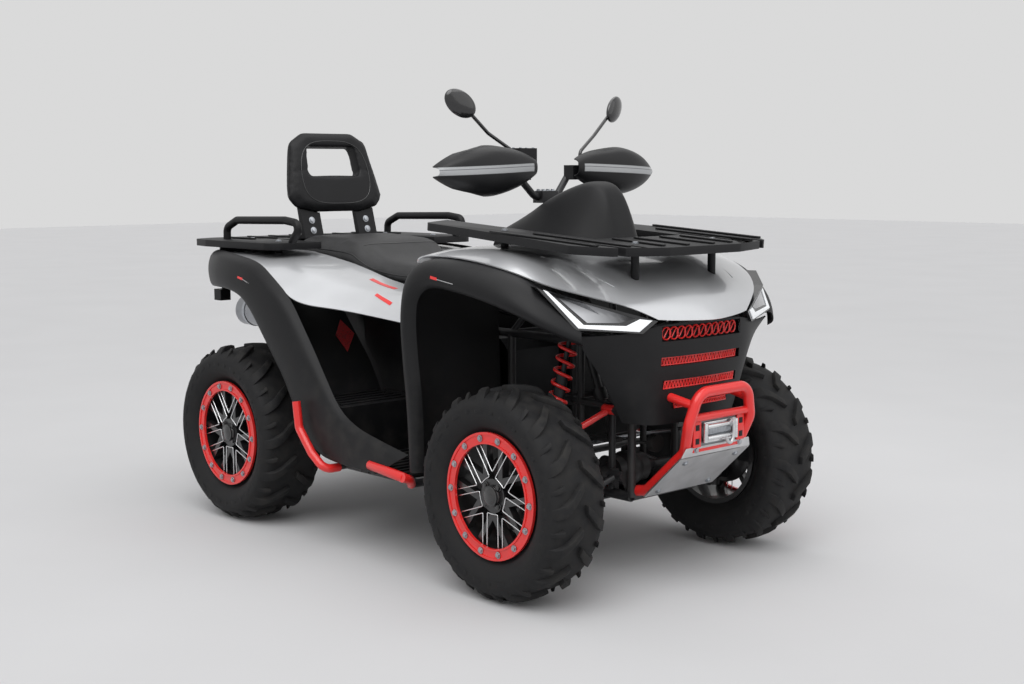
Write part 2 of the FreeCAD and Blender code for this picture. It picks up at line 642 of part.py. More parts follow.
bumper_stay_end_y = 130.0
bumper_stay_end_over_rail = 315.0
bumper_stay_end_z = lower_rail_z + bumper_stay_end_over_rail
upper_bar_over_rail = 275.0
upper_bar_z = lower_rail_z + upper_bar_over_rail
upper_bar_half = 142.0
lower_bar_from_front = 360.0
lower_bar_x = front_axle_x + lower_bar_from_front
lower_bar_over_rail = 167.0
lower_bar_z = lower_rail_z + lower_bar_over_rail
bumper_plate_rear_from_front = 228.0
bumper_plate_rear_x = front_axle_x + bumper_plate_rear_from_front
bumper_plate_low_over_rail = 15.0
bumper_plate_low_z = lower_rail_z + bumper_plate_low_over_rail
bumper_plate_front_from_front = 375.0
bumper_plate_front_x = front_axle_x + bumper_plate_front_from_front
bumper_plate_high_over_rail = 155.0
bumper_plate_high_z = lower_rail_z + bumper_plate_high_over_rail
bumper_plate_step = 3.0
bumper_plate_half = 165.0
horn_radius = 28.0
horn_depth = 24.0
horn_from_front = 214.0
horn_x = front_axle_x + horn_from_front
horn_y = -110.0
horn_over_rail = 176.0
horn_z = lower_rail_z + horn_over_rail
horn_stay_radius = 5.0
horn_stay_end = 4.0
winch_radius = 36.0
winch_half_width = 90.0
winch_from_front = 350.0
winch_x = front_axle_x + winch_from_front
winch_over_rail = 220.0
winch_z = lower_rail_z + winch_over_rail
winch_plate_from_front = 378.0
winch_plate_x = front_axle_x + winch_plate_from_front
winch_plate_thickness = 8.0
winch_plate_half_width = 85.0
winch_plate_half_height = 43.0
winch_foot_from_front = 330.0
winch_foot_x = front_axle_x + winch_foot_from_front
winch_foot_half_width = 60.0
winch_foot_thickness = 15.8
step_bar_radius = 15.0
step_bar_from_side = 36.0
step_bar_y = half_width + step_bar_from_side
step_bar_drop = 5.0
step_bar_bend = 40.0
step_bar_top_from_rear = 508.0
step_bar_top_x = rear_axle_x + step_bar_top_from_rear
step_bar_top_over_rail = 227.0
step_bar_top_z = lower_rail_z + step_bar_top_over_rail
step_bar_knee_from_rear = 522.0
step_bar_knee_x = rear_axle_x + step_bar_knee_from_rear
step_bar_knee_over_rail = 135.0
step_bar_knee_z = lower_rail_z + step_bar_knee_over_rail
step_bar_foot_from_rear = 590.0
step_bar_foot_x = rear_axle_x + step_bar_foot_from_rear
step_bar_foot_over_rail = 55.0
step_bar_foot_z = lower_rail_z + step_bar_foot_over_rail
step_bar_foot_inset = 4.0
step_bar_end_inset = 14.0
front_step_rise = 3.0
front_step_bend = 26.0
front_step_knee_from_front = -398.0
front_step_knee_x = front_axle_x + front_step_knee_from_front
front_step_knee_from_side = -10.0
front_step_knee_y = half_width + front_step_knee_from_side
front_step_knee_over_rail = 33.0
front_step_knee_z = lower_rail_z + front_step_knee_over_rail
front_step_end_from_front = -400.0
front_step_end_x = front_axle_x + front_step_end_from_front
front_step_end_from_side = 20.0
front_step_end_y = half_width + front_step_end_from_side
front_step_end_over_rail = 42.0
front_step_end_z = lower_rail_z + front_step_end_over_rail

# Foot wells
footwell_inner_y = 190.0
footwell_wall = 14.0
floor_rear_from_rear = 670.0
floor_rear_x = rear_axle_x + floor_rear_from_rear
floor_front_from_front = -450.0
floor_front_x = front_axle_x + floor_front_from_front
floor_outer_from_side = -26.0
floor_outer_y = half_width + floor_outer_from_side
step_rear_from_rear = 370.0
step_rear_x = rear_axle_x + step_rear_from_rear
step_outer_from_side = -40.0
step_outer_y = half_width + step_outer_from_side
step_top_over_rail = 215.0
step_top_z = lower_rail_z + step_top_over_rail
riser_wall = 12.0
footwell_rear_from_rear = 310.0
footwell_rear_x = rear_axle_x + footwell_rear_from_rear
footwell_top_over_rail = 495.0
footwell_top_z = lower_rail_z + footwell_top_over_rail
footwell_liner_gap = 12.0
footwell_tab_from_rear = 830.0
footwell_tab_x = rear_axle_x + footwell_tab_from_rear
footwell_tab_length = 40.0
footwell_tab_thickness = 10.0
footwell_tab_from_side = 0.0
footwell_tab_y = half_width + footwell_tab_from_side

# Rear panel, lamps and the radiator
slot_rear_from_front = 250.0
slot_rear_x = front_axle_x + slot_rear_from_front
slot_front_from_front = 450.0
slot_front_x = front_axle_x + slot_front_from_front
radiator_depth = 44.0
radiator_half_width = 130.0
radiator_low_over_rail = 275.0
radiator_low_z = lower_rail_z + radiator_low_over_rail
radiator_high_over_rail = 545.0
radiator_high_z = lower_rail_z + radiator_high_over_rail
rear_panel_low_over_deck = -134.0
rear_panel_low_z = deck_height + rear_panel_low_over_deck
rear_panel_wall = 10.0
stub_inner_from_side = -175.0
stub_inner_y = half_width + stub_inner_from_side
stub_outer_from_side = -130.0
stub_outer_y = half_width + stub_outer_from_side
stub_neck_from_side = -160.0
stub_neck_y = half_width + stub_neck_from_side
stub_low_over_deck = -194.0
stub_low_z = deck_height + stub_low_over_deck
stub_high_over_deck = -150.0
stub_high_z = deck_height + stub_high_over_deck
stub_neck_drop = 10.0
stub_neck_rise = 4.0
stub_back = 8.0
stub_front = 40.0
tail_lamp_depth = 16.0
tail_lamp_inner_from_side = -370.0
tail_lamp_inner_y = half_width + tail_lamp_inner_from_side
tail_lamp_outer_from_side = -200.0
tail_lamp_outer_y = half_width + tail_lamp_outer_from_side
tail_lamp_low_over_deck = -95.0
tail_lamp_low_z = deck_height + tail_lamp_low_over_deck
tail_lamp_high_over_deck = -45.0
tail_lamp_high_z = deck_height + tail_lamp_high_over_deck

# Handlebar
bar_radius = 12.0
column_radius = 14.0
column_room = 14.0
column_room_length = 1100.0
column_top_from_front = -381.0
column_top_x = front_axle_x + column_top_from_front
column_top_over_deck = 218.0
column_top_z = deck_height + column_top_over_deck
bar_grip_over_deck = 300.0
bar_grip_z = deck_height + bar_grip_over_deck
column_lean = 351.0
column_fall = 870.0
pitman_z = 402.0
collar_radius = 24.0
collar_length = 40.0
collar_clearance = 0.05
grip_radius = 17.0
grip_length = 120.0
bar_reach = 420.0
bar_bend = 36.0
bar_flat_half = 50.0
bar_rise_y = 128.0
bar_rise_back = 14.0
bar_sweep_y = 200.0
bar_sweep_start = 4.0
bar_sweep_lift = 4.0
bar_sweep = 34.0
clamp_half_length = 24.0
clamp_half_width = 36.0
clamp_half_height = 20.0
grip_end = 4.0
guard_wall = 4.0
guard_reach = 500.0
guard_height = 100.0
# a guard's stations as shares of the guard's reach out from the middle, ahead of the bar, and of its
# height: place across, place ahead, place above the grips, half height and depth
guard_station_shares = [
    (0.200, 0.57, 0.18, 0.26, 0.18), (0.280, 0.67, 0.16, 0.50, 0.30), (0.480, 0.87, 0.08, 0.74, 0.44),
    (0.640, 0.91, 0.06, 0.82, 0.50), (0.800, 0.77, 0.06, 0.66, 0.48), (0.930, 0.49, 0.04, 0.38, 0.38),
    (0.998, 0.29, 0.03, 0.14, 0.26),
]
guard_stay_y = 150.0
guard_stay_rise = 14.0
guard_stay_length = 40.0
guard_stay_radius = 8.0
switch_inner_y = 100.0
switch_outer_y = 165.0
switch_back = 12.0
switch_front = 34.0
switch_drop = 24.0
switch_rise = 26.0
fluid_box_back = 18.0
fluid_box_outer_y = 150.0
fluid_box_inner_y = 72.0
fluid_box_height = 56.0
lever_radius = 5.0
lever_bend = 20.0
lever_root_x = 30.0
lever_root_y = 150.0
lever_knee_x = 62.0
lever_knee_y = 200.0
lever_end_x = 56.0
lever_end_y = 380.0
lever_drop = 4.0
lever_end_drop = 8.0
mirror_stalk_radius = 6.0
mirror_stalk_bend = 26.0
mirror_foot_from_column = 8.0
mirror_foot_x = column_top_x + mirror_foot_from_column
mirror_foot_y = 158.5
mirror_elbow_over_grip = 72.0
mirror_elbow_z = bar_grip_z + mirror_elbow_over_grip
mirror_arm_from_column = -13.0
mirror_arm_x = column_top_x + mirror_arm_from_column
mirror_arm_y = 250.0
mirror_arm_over_grip = 130.0
mirror_arm_z = bar_grip_z + mirror_arm_over_grip
mirror_neck_from_column = -20.0
mirror_neck_x = column_top_x + mirror_neck_from_column
mirror_neck_y = 335.0
mirror_neck_over_grip = 205.0
mirror_neck_z = bar_grip_z + mirror_neck_over_grip
mirror_from_column = -22.0
mirror_x = column_top_x + mirror_from_column
mirror_y = 362.0
mirror_over_grip = 224.0
mirror_z = bar_grip_z + mirror_over_grip
mirror_half_depth = 17.0
mirror_half_width = 60.0
mirror_half_height = 40.0
mirror_roll_degrees = 34.0
mirror_turn_degrees = 18.0

# Hitch and muffler
hitch_over_rail = 55.0
hitch_z = lower_rail_z + hitch_over_rail
hitch_length = 160.0
hitch_hole_reach = 130.0
hitch_root = 6.0
hitch_gusset_top_over_rail = 115.0
hitch_gusset_top = lower_rail_z + hitch_gusset_top_over_rail
hitch_gusset_drop = 20.0
tongue_width = 60.0
hitch_hole_radius = 10.0
hitch_plate_thickness = 10.0
muffler_radius = 62.0
muffler_length = 300.0
muffler_rear_from_rear = -420.0
muffler_rear_x = rear_axle_x + muffler_rear_from_rear
muffler_y = 238.0
muffler_z = 745.0
outlet_length = 30.0
outlet_reach = 20.0
muffler_bracket_x = 200.0
muffler_bracket_length = 25.0
muffler_bracket_half = 6.0


def axis_frame(origin, direction):
    """A placement whose Z runs along a direction."""
    return FreeCAD.Placement(origin, FreeCAD.Rotation(Z_AXIS, direction))


def steer_axis():
    """The direction of the steering column, pointing up to the rider."""
    return V(-column_lean, 0, column_fall).normalize()


def column_point(z):
    """The point of the steering column at a height."""
    return V(column_top_x + column_lean * (column_top_z - z) / column_fall, 0, z)


def ring(outer, inner, y_low, y_high):
    """A ring about the Y axis."""
    length = y_high - y_low
    start = V(0, y_low, 0)
    return Part.makeCylinder(outer, length, start, Y_AXIS).cut(Part.makeCylinder(inner, length, start, Y_AXIS))


def revolved(profile):
    """A solid turned about the Y axis from a closed profile of (radius, y) points."""
    points = [V(r, y, 0) for r, y in profile]
    return Part.Face(outline(points)).revolve(V(0, 0, 0), Y_AXIS, 360)


def bead_offset(width):
    """How far the tyre's bead stands from the wheel's middle plane."""
    return width / 2 - bead_inset


def turned_point(radius, y, angle):
    """A point of a wheel at a radius, a place along the axle and an angle."""
    return V(radius * math.cos(angle), y, radius * math.sin(angle))


def facets_of(corners):
    """One or two flat faces over four corners."""
    a, b, c, d = corners
    normal = (b - a).cross(c - a).normalize()
    if abs(normal.dot(d - a)) < flat_limit:
        return [Part.Face(outline([a, b, c, d]))]
    return [Part.Face(outline([a, b, c])), Part.Face(outline([a, c, d]))]


def closed_solid(faces):
    """A solid from faces that close."""
    solid = Part.makeSolid(Part.makeShell(faces))
    if solid.Volume < 0:
        solid.reverse()
    return solid


def turned_facets(profile, sectors):
    """A solid turned about the Y axis in flat sectors, from a closed profile of (radius, y) points."""
    faces = []
    for i in range(sectors):
        first = 2 * math.pi * i / sectors
        second = 2 * math.pi * (i + 1) / sectors
        for k in range(len(profile)):
            r_a, y_a = profile[k - 1]
            r_b, y_b = profile[k]
            faces += facets_of([
                turned_point(r_a, y_a, first), turned_point(r_b, y_b, first),
                turned_point(r_b, y_b, second), turned_point(r_a, y_a, second)])
    return closed_solid(faces)


def make_lug(half, side, angle):
    """One tread lug, from near the tyre's middle out over its shoulder and down its side."""
    rings = []
    for inset_share, top, root, lead, spread in lug_station_shares:
        y = side * (half - inset_share * lug_reach)
        turn = angle + math.radians(lead)
        ring_points = []
        for radius, end in ((root, -1), (top, -0.8), (top, 0.8), (root, 1)):
            ring_points.append(turned_point(radius * tyre_radius, y, turn + end * math.radians(spread) / 2))
        rings.append(ring_points)
    faces = []
    for i in range(len(rings) - 1):
        for k in range(len(rings[i])):
            faces += facets_of([rings[i][k - 1], rings[i][k], rings[i + 1][k], rings[i + 1][k - 1]])
    faces += facets_of(rings[0])
    faces += facets_of(rings[-1])
    return closed_solid(faces)


def make_tyre(width):
    """A lugged tyre about the Y axis, in flat facets: a carcass with two staggered rows of lugs."""
    half = width / 2
    bead = bead_offset(width)
    flat = math.cos(math.pi / tyre_sectors)
    barrel = (bead_radius - rim_lip + seat_gap) / flat
    heel = (bead_radius + rim_heel + seat_gap) / flat
    outer = [(barrel, bead - bead_gap), (heel, bead - bead_gap)]
    outer += [(share * tyre_radius, half - inset * lug_reach) for share, inset in carcass_shares]
    right = [(r, -y) for r, y in reversed(outer)]
    crown = carcass_inner_shares[0] * tyre_radius
    crown_y = half - carcass_inner_shares[1] * lug_reach
    inside = [(barrel, -bead + tyre_wall), (crown, -crown_y), (crown, crown_y), (barrel, bead - tyre_wall)]
    carcass = turned_facets(outer + right + inside, tyre_sectors)
    lugs = []
    pitch = 2 * math.pi / lug_count
    for i in range(lug_count):
        lugs.append(make_lug(half, 1, pitch * i))
        lugs.append(make_lug(half, -1, pitch * (i + 0.5)))
    return carcass.multiFuse(lugs).removeSplitter()


def make_rim(width):
    """A rim with its barrel, split spokes, hub, brake disc and spindle, its outer face towards +Y."""
    bead = bead_offset(width)
    barrel = bead_radius - rim_lip
    inside = barrel - rim_wall
    lip = bead_radius + rim_heel
    flange = bead + rim_lip
    profile = [
        (inside, flange), (lip, flange), (lip, bead), (barrel, bead),
        (barrel, -bead), (lip, -bead), (lip, -flange), (inside, -flange),
    ]
    face = flange - spoke_inset
    back = face - spoke_depth
    pieces = [revolved(profile)]
    fork = inside * spoke_fork_share
    reach = inside + rim_wall / 2
    half = spoke_width / 2
    spread = math.radians(spoke_spread_degrees)
    stem = block(V(0, back, -half), V(fork, face, half))
    branches = []
    for side in (1, -1):
        tip = V(reach * math.cos(spread * side), 0, reach * math.sin(spread * side))
        root = V(fork * 0.8, 0, 0)
        along = (tip - root).normalize()
        normal = V(-along.z, 0, along.x)
        root_half = normal * half * 0.8
        tip_half = normal * half * 0.7
        corners = [root - root_half, tip - tip_half, tip + tip_half, root + root_half]
        branches.append(prism([c + V(0, back, 0) for c in corners], V(0, spoke_depth, 0)))
    spoke = stem.multiFuse(branches)
    limit = Part.makeCylinder(reach, spoke_depth, V(0, back, 0), Y_AXIS)
    spoke = spoke.common(limit)
    for i in range(spoke_count):
        turned = spoke.copy()
        turned.rotate(V(0, 0, 0), Y_AXIS, 360 / spoke_count * i + 90)
        pieces.append(turned)
    disc_back = hub_back_y - disc_thickness
    pieces.append(Part.makeCylinder(hub_radius, face - hub_back_y, V(0, hub_back_y, 0), Y_AXIS))
    pieces.append(Part.makeCylinder(hub_cap_radius, hub_cap_height, V(0, face, 0), Y_AXIS))
    pieces.append(ring(disc_radius, disc_inner_radius, disc_back, hub_back_y))
    bell_radius = disc_inner_radius + hub_overlap
    pieces.append(Part.makeCylinder(bell_radius, disc_thickness, V(0, disc_back, 0), Y_AXIS))
    pieces.append(Part.makeCylinder(spindle_radius, hub_back_y - spindle_end_y, V(0, spindle_end_y, 0), Y_AXIS))
    return fused(pieces)


def make_bead_ring(width):
    """The bolted ring around the rim's outer lip."""
    start = bead_offset(width) + rim_lip
    body = ring(bead_ring_outer, bead_ring_inner, start, start + bead_ring_thickness)
    face = start + bead_ring_thickness
    outer = bead_ring_outer - bead_ring_outer_step
    recess = ring(outer, bead_ring_inner + bead_ring_inner_step, face - bead_ring_recess, face + overrun)
    body = body.cut(recess)
    bolts = []
    middle = (bead_ring_outer + bead_ring_inner) / 2
    for i in range(bead_bolt_count):
        angle = 2 * math.pi * i / bead_bolt_count
        base = V(middle * math.cos(angle), face - bead_bolt_sink, middle * math.sin(angle))
        bolts.append(Part.makeCylinder(bead_bolt_radius, bead_bolt_length, base, Y_AXIS))
    return fused([body] + bolts)


def make_knuckle(steered):
    """A wheel carrier about its own centre: a bracket round the drive joint, with a pin up and a pin down."""
    eye_low = ball_height - eye_height / 2
    boss_top = eye_low - joint_gap
    boss_bottom = boss_top - knuckle_wall
    back = knuckle_back_y
    front = knuckle_front_y
    half = knuckle_half_width
    ring_length = knuckle_ring_front_y - back
    pieces = [
        Part.makeCylinder(knuckle_ring_radius, ring_length, V(0, back, 0), Y_AXIS),
        block(V(-half, back, -boss_top), V(half, front, boss_top)),
    ]
    boss_radius = knuckle_boss_radius
    for side in (1, -1):
        low = min(side * boss_top, side * boss_bottom)
        pieces.append(Part.makeCylinder(boss_radius, knuckle_wall, V(0, 0, low), Z_AXIS))
        pieces.append(block(V(-boss_radius, 0, low), V(boss_radius, front, low + knuckle_wall)))
        pin_end = side * (ball_height + eye_height / 2 + pin_overlength)
        pieces.append(rod(V(0, 0, side * boss_bottom), V(0, 0, pin_end), pin_radius))
    caliper_low = disc_radius - caliper_bite
    caliper_high = disc_radius + caliper_rise
    inner_low = caliper_inner_y
    inner_high = inner_low + caliper_inner_thickness
    outer_low = caliper_outer_y
    outer_high = outer_low + caliper_outer_thickness
    tall = caliper_half_height
    facing = 1 if steered else -1

    def sided(low, high):
        """A block that lies ahead of the axle, or behind it."""
        xs = sorted((facing * low.x, facing * high.x))
        return block(V(xs[0], low.y, low.z), V(xs[1], high.y, high.z))

    pieces.append(sided(V(half - caliper_root, inner_low, -tall / 2), V(caliper_high, front, tall / 2)))
    pieces.append(sided(V(caliper_low, inner_low, -tall), V(caliper_high, inner_high, tall)))
    pieces.append(sided(V(caliper_low, outer_low, -tall), V(caliper_high, outer_high, tall)))
    pieces.append(sided(V(disc_radius + caliper_bridge, inner_low, -tall), V(caliper_high, outer_high, tall)))
    if steered:
        arm_top = pitman_z - tyre_radius - rod_eye_radius / 2 - joint_gap
        arm_low = arm_top - steer_arm_thickness
        pin = V(-steer_pin_drag, steer_pin_offset, arm_low)
        pieces.append(block(pin - V(0, steer_arm_half_depth, 0), V(-steer_arm_root, front, arm_top)))
        pieces.append(Part.makeCylinder(steer_arm_half_width, steer_arm_thickness, pin, Z_AXIS))
        pieces.append(Part.makeCylinder(pin_radius, steer_pin_length, pin, Z_AXIS))
    body = fused(pieces)
    bore = spindle_radius + spindle_clearance
    return body.cut(Part.makeCylinder(bore, ring_length + 2 * overrun, V(0, back - overrun, 0), Y_AXIS))


def make_arm(inner_y, rise, height):
    """An A-arm about the wheel carrier's centre: the ball eye at a height, two legs to its inner pivots."""
    pieces = []
    eye_z = height
    start = V(0, 0, eye_z)
    kink = V(0, -arm_kink, eye_z)
    for side in (1, -1):
        end = V(side * arm_inner_spread, -inner_y, rise)
        elbow = V(side * arm_tube_radius, kink.y, kink.z)
        pieces.append(tube([V(0, -eye_radius * 0.6, eye_z), elbow, end], arm_tube_radius * 0.85, arm_bend))
        low = end - V(pivot_tube_length / 2, 0, 0)
        pieces.append(Part.makeCylinder(pivot_tube_radius, pivot_tube_length, low, X_AXIS))
    pieces.append(Part.makeCylinder(eye_radius, eye_height, start - V(0, 0, eye_height / 2), Z_AXIS))
    if height > 0:
        share = (shock_drop - arm_kink) / (inner_y - arm_kink)
        z = eye_z + (rise - eye_z) * share
        x = arm_inner_spread * share + arm_tube_radius / 2
        pieces.append(rod(V(-x, -shock_drop, z), V(x, -shock_drop, z), shock_pin_radius))
    body = fused(pieces)
    bore = pin_radius + pin_clearance
    bottom = start - V(0, 0, eye_height / 2 + overrun)
    body = body.cut(Part.makeCylinder(bore, eye_height + 2 * overrun, bottom, Z_AXIS))
    for side in (1, -1):
        low = V(side * arm_inner_spread - pivot_tube_length / 2 - overrun, -inner_y, rise)
        body = body.cut(Part.makeCylinder(bore, pivot_tube_length + 2 * overrun, low, X_AXIS))
    return body


def wheel_places():
    """The centre of the left front and the left rear wheel."""
    front = V(front_axle_x, front_outer_y - front_tyre_width / 2, tyre_radius)
    rear = V(rear_axle_x, rear_outer_y - rear_tyre_width / 2, tyre_radius)
    return front, rear


def carrier_place(wheel_centre):
    """The centre of the wheel carrier inboard of a wheel centre."""
    return wheel_centre - V(0, front_outer_y - front_tyre_width / 2 - kingpin_y, 0)


def moved(shape, place):
    """A copy of the shape at a place."""
    copy = shape.copy()
    copy.translate(place)
    return copy


def make_arms(carrier):
    """The lower and the upper arm of one wheel."""
    lower = make_arm(carrier.y - lower_pivot_y, lower_pivot_z - carrier.z, -ball_height)
    upper = make_arm(carrier.y - upper_pivot_y, upper_pivot_z - carrier.z, ball_height)
    return moved(lower, carrier), moved(upper, carrier)


def shock_ends(carrier):
    """The lower and upper eye of the shock absorber of one wheel."""
    share = (shock_drop - arm_kink) / (carrier.y - upper_pivot_y - arm_kink)
    z = carrier.z + ball_height + (upper_pivot_z - carrier.z - ball_height) * share
    lower = V(carrier.x, carrier.y - shock_drop, z)
    lean = shock_lean_x if carrier.x > 0 else -shock_lean_x
    upper = V(carrier.x + lean, shock_upper_y, shock_upper_height)
    return lower, upper


def make_damper(lower, upper):
    """A damper body and rod with an eye at each end and the two spring seats."""
    along = (upper - lower).normalize()
    length = (upper - lower).Length

    def point(share):
        """The place at a share of the way from the lower eye to the upper."""
        return lower + along * (length * share)

    lower_seat = point(spring_start_share)
    upper_seat = point(spring_end_share)
    pieces = [
        rod(point(0), point(damper_body_share), damper_body_radius),
        rod(point(damper_rod_share), point(1), damper_rod_radius),
        rod(lower_seat - along * spring_seat_thickness, lower_seat, spring_radius),
        rod(upper_seat, upper_seat + along * spring_seat_thickness, spring_radius),
    ]
    for end in (lower, upper):
        low = end - V(shock_eye_length / 2, 0, 0)
        pieces.append(Part.makeCylinder(shock_eye_radius, shock_eye_length, low, X_AXIS))
    body = fused(pieces)
    bore = shock_pin_radius + pin_clearance
    for end in (lower, upper):
        low = end - V(shock_eye_length / 2 + overrun, 0, 0)
        body = body.cut(Part.makeCylinder(bore, shock_eye_length + 2 * overrun, low, X_AXIS))
    return body


def make_spring(lower, upper):
    """The coil spring between its seats."""
    along = (upper - lower).normalize()
    length = (upper - lower).Length
    start = lower + along * (length * spring_start_share)
    height = length * (spring_end_share - spring_start_share)
    mean = spring_radius - spring_wire_radius
    rise = height - 2 * spring_wire_radius
    helix = Part.makeHelix(rise / spring_turns, rise, mean)
    section = Part.Wire([Part.makeCircle(spring_wire_radius, V(mean, 0, 0), Y_AXIS)])
    coil = Part.Wire(helix.Edges).makePipeShell([section], True, True)
    coil.translate(V(0, 0, spring_wire_radius))
    coil.Placement = axis_frame(start, along).multiply(coil.Placement)
    return coil


def make_drive(carrier):
    """A differential with its two half shafts out to the wheel carriers."""
    centre = V(carrier.x, 0, carrier.z)
    half = rod(centre, carrier, shaft_radius)
    side = V(0, differential_half_width, 0)
    pieces = [
        Part.makeSphere(differential_radius, centre),
        rod(centre - side, centre + side, differential_radius * 0.8),
    ]
    boot_end = shaft_radius + inner_boot_wall
    inner_boot = Part.makeCone(differential_radius * 0.55, boot_end, inner_boot_length, centre + side, Y_AXIS)
    ball = Part.makeSphere(joint_ball_radius, carrier)
    boot_end = shaft_radius + outer_boot_wall
    boot_start = carrier - V(0, outer_boot_start, 0)
    boot = Part.makeCone(boot_end, joint_boot_radius, outer_boot_length, boot_start, Y_AXIS)
    for shape in (half, inner_boot, ball, boot):
        pieces.append(shape)
        pieces.append(mirrored(shape))
    nose = differential_radius + differential_nose_length
    facing = -1 if carrier.x > 0 else 1
    pieces.append(rod(centre, centre + V(facing * nose, 0, 0), differential_nose_radius))
    return fused(pieces)


def mount_plate(x, base_z, pivot_y, pivot_z, plate_shares):
    """A plate from the rail out to a pivot, with its ear round the pivot."""
    root_in, drop, rise = [share * mount_ear for share in plate_shares]
    root = rail_half_gap - root_in
    ear = mount_ear * 0.9
    corners = [
        V(x, root, base_z), V(x, pivot_y, pivot_z - drop), V(x, pivot_y + ear, pivot_z),
        V(x, pivot_y, pivot_z + ear), V(x, root, pivot_z + rise),
    ]
    return prism(corners, V(plate_wall, 0, 0))


def arm_mounts(carrier):
    """The plates and the pins that carry the two arms of one wheel."""
    pieces = []
    for side in (1, -1):
        centre = carrier.x + side * arm_inner_spread
        for end in (1, -1):
            x = centre + end * (pivot_tube_length / 2 + plate_wall / 2) - plate_wall / 2
            low_z = lower_rail_z - mount_ear * 0.6
            high_z = upper_pivot_z - mount_ear * 0.6
            pieces.append(mount_plate(x, low_z, lower_pivot_y, lower_pivot_z, lower_mount_shares))
            pieces.append(mount_plate(x, high_z, upper_pivot_y, upper_pivot_z, upper_mount_shares))
        reach = pivot_tube_length / 2 + pin_overlength
        for y, z in ((lower_pivot_y, lower_pivot_z), (upper_pivot_y, upper_pivot_z)):
            pieces.append(rod(V(centre - reach, y, z), V(centre + reach, y, z), pin_radius))
    return pieces


def shock_tower(carrier, rail_z):
    """The two plates and the pin that carry the upper eye of one shock absorber."""
    upper = shock_ends(carrier)[1]
    ear = mount_ear * 0.9
    edge = mount_ear * 0.4
    pieces = []
    for end in (1, -1):
        x = upper.x + end * (shock_eye_length / 2 + joint_gap + plate_wall / 2) - plate_wall / 2
        corners = [
            V(x, rail_half_gap - edge, rail_z - mount_ear * 0.5),
            V(x, rail_half_gap + edge, rail_z - mount_ear * 0.5),
            V(x, upper.y + ear, upper.z - mount_ear * 0.6),
            V(x, upper.y + ear, upper.z + mount_ear * 0.7),
            V(x, upper.y - mount_ear * 0.7, upper.z + ear),
            V(x, rail_half_gap - edge, rail_z + mount_ear * 0.8),
        ]
        pieces.append(prism(corners, V(plate_wall, 0, 0)))
    reach = V(shock_eye_length / 2 + plate_wall, 0, 0)
    pieces.append(rod(upper - reach, upper + reach, shock_pin_radius))
    return pieces


def frame_rails(front_end, rear_end, upper_z, rear_z):
    """The left half of the chassis: its rails, posts and outriggers."""
    half = rail_half_gap
    thin = rail_radius * 0.85
    upper_path = [
        V(front_end, half, lower_rail_z), V(front_end, half, upper_z),
        V(front_axle_x - rail_front_run, half, upper_z),
        V(rail_kink_x, half, rear_z), V(rear_end - rail_overhang, half, rear_z),
    ]
    pieces = [
        rod(V(rear_end, half, lower_rail_z), V(front_end, half, lower_rail_z), rail_radius),
        tube(upper_path, thin, rail_bend),
    ]
    for x, top in ((rear_end, rear_z), (front_post_x, upper_z), (middle_post_x, upper_z + middle_post_rise)):
        pieces.append(rod(V(x, half, lower_rail_z), V(x, half, top), thin))
    out_z = lower_rail_z + outrigger_rise
    for x in (outrigger_front_x, outrigger_rear_x):
        pieces.append(rod(V(x, half, out_z), V(x, outrigger_reach, out_z), outrigger_radius))
    out_y = outrigger_reach - outrigger_inset
    out_low = V(outrigger_rear_x, out_y, out_z)
    pieces.append(rod(out_low, V(outrigger_front_x, out_y, out_z), outrigger_radius * 0.9))
    post_top = rear_rack_z - seat_gap
    pieces.append(rod(V(rear_post_x, half, rear_z), V(rear_post_x, half, post_top), rail_radius * 0.7))
    pieces.append(rod(V(front_post_x, half, upper_z), column_point(collar_high_z), collar_stay_radius))
    return pieces


def frame_crossers(front_end, rear_end, upper_z, rear_z):
    """The tubes that join the two halves of the chassis, and the collars of the steering column."""
    half = rail_half_gap
    engine_z = lower_rail_z + rail_radius * 0.2 - seat_gap
    places = [
        (engine_cross_rear_x, engine_z), (engine_cross_front_x, engine_z), (front_end, lower_rail_z),
        (front_end, upper_z - front_cross_drop), (front_post_x, lower_rail_z), (middle_post_x, lower_rail_z),
        (rear_end, lower_rail_z), (rear_end - rear_cross_overhang, rear_z),
        (middle_post_x, upper_z + middle_cross_rise), (front_post_x, upper_z),
    ]
    pieces = [rod(V(x, -half, z), V(x, half, z), rail_radius * 0.8) for x, z in places]
    back_x = front_axle_x - arm_inner_spread - pivot_tube_length / 2 - plate_wall
    pieces.append(rod(V(back_x, -half, upper_pivot_z), V(back_x, half, upper_pivot_z), rail_radius * 0.7))
    collar_low = column_point(upper_pivot_z)
    edge = collar_web_half_height
    wide = collar_web_half_width
    web_front_x, web_rear_x = sorted((back_x, collar_low.x))
    web_low = V(web_front_x - edge, -wide, upper_pivot_z - edge)
    pieces.append(block(web_low, V(web_rear_x, wide, upper_pivot_z + edge)))
    for centre in (column_point(collar_high_z), collar_low):
        low = centre - steer_axis() * (collar_length / 2)
        pieces.append(Part.makeCylinder(collar_radius, collar_length, low, steer_axis()))
    return pieces


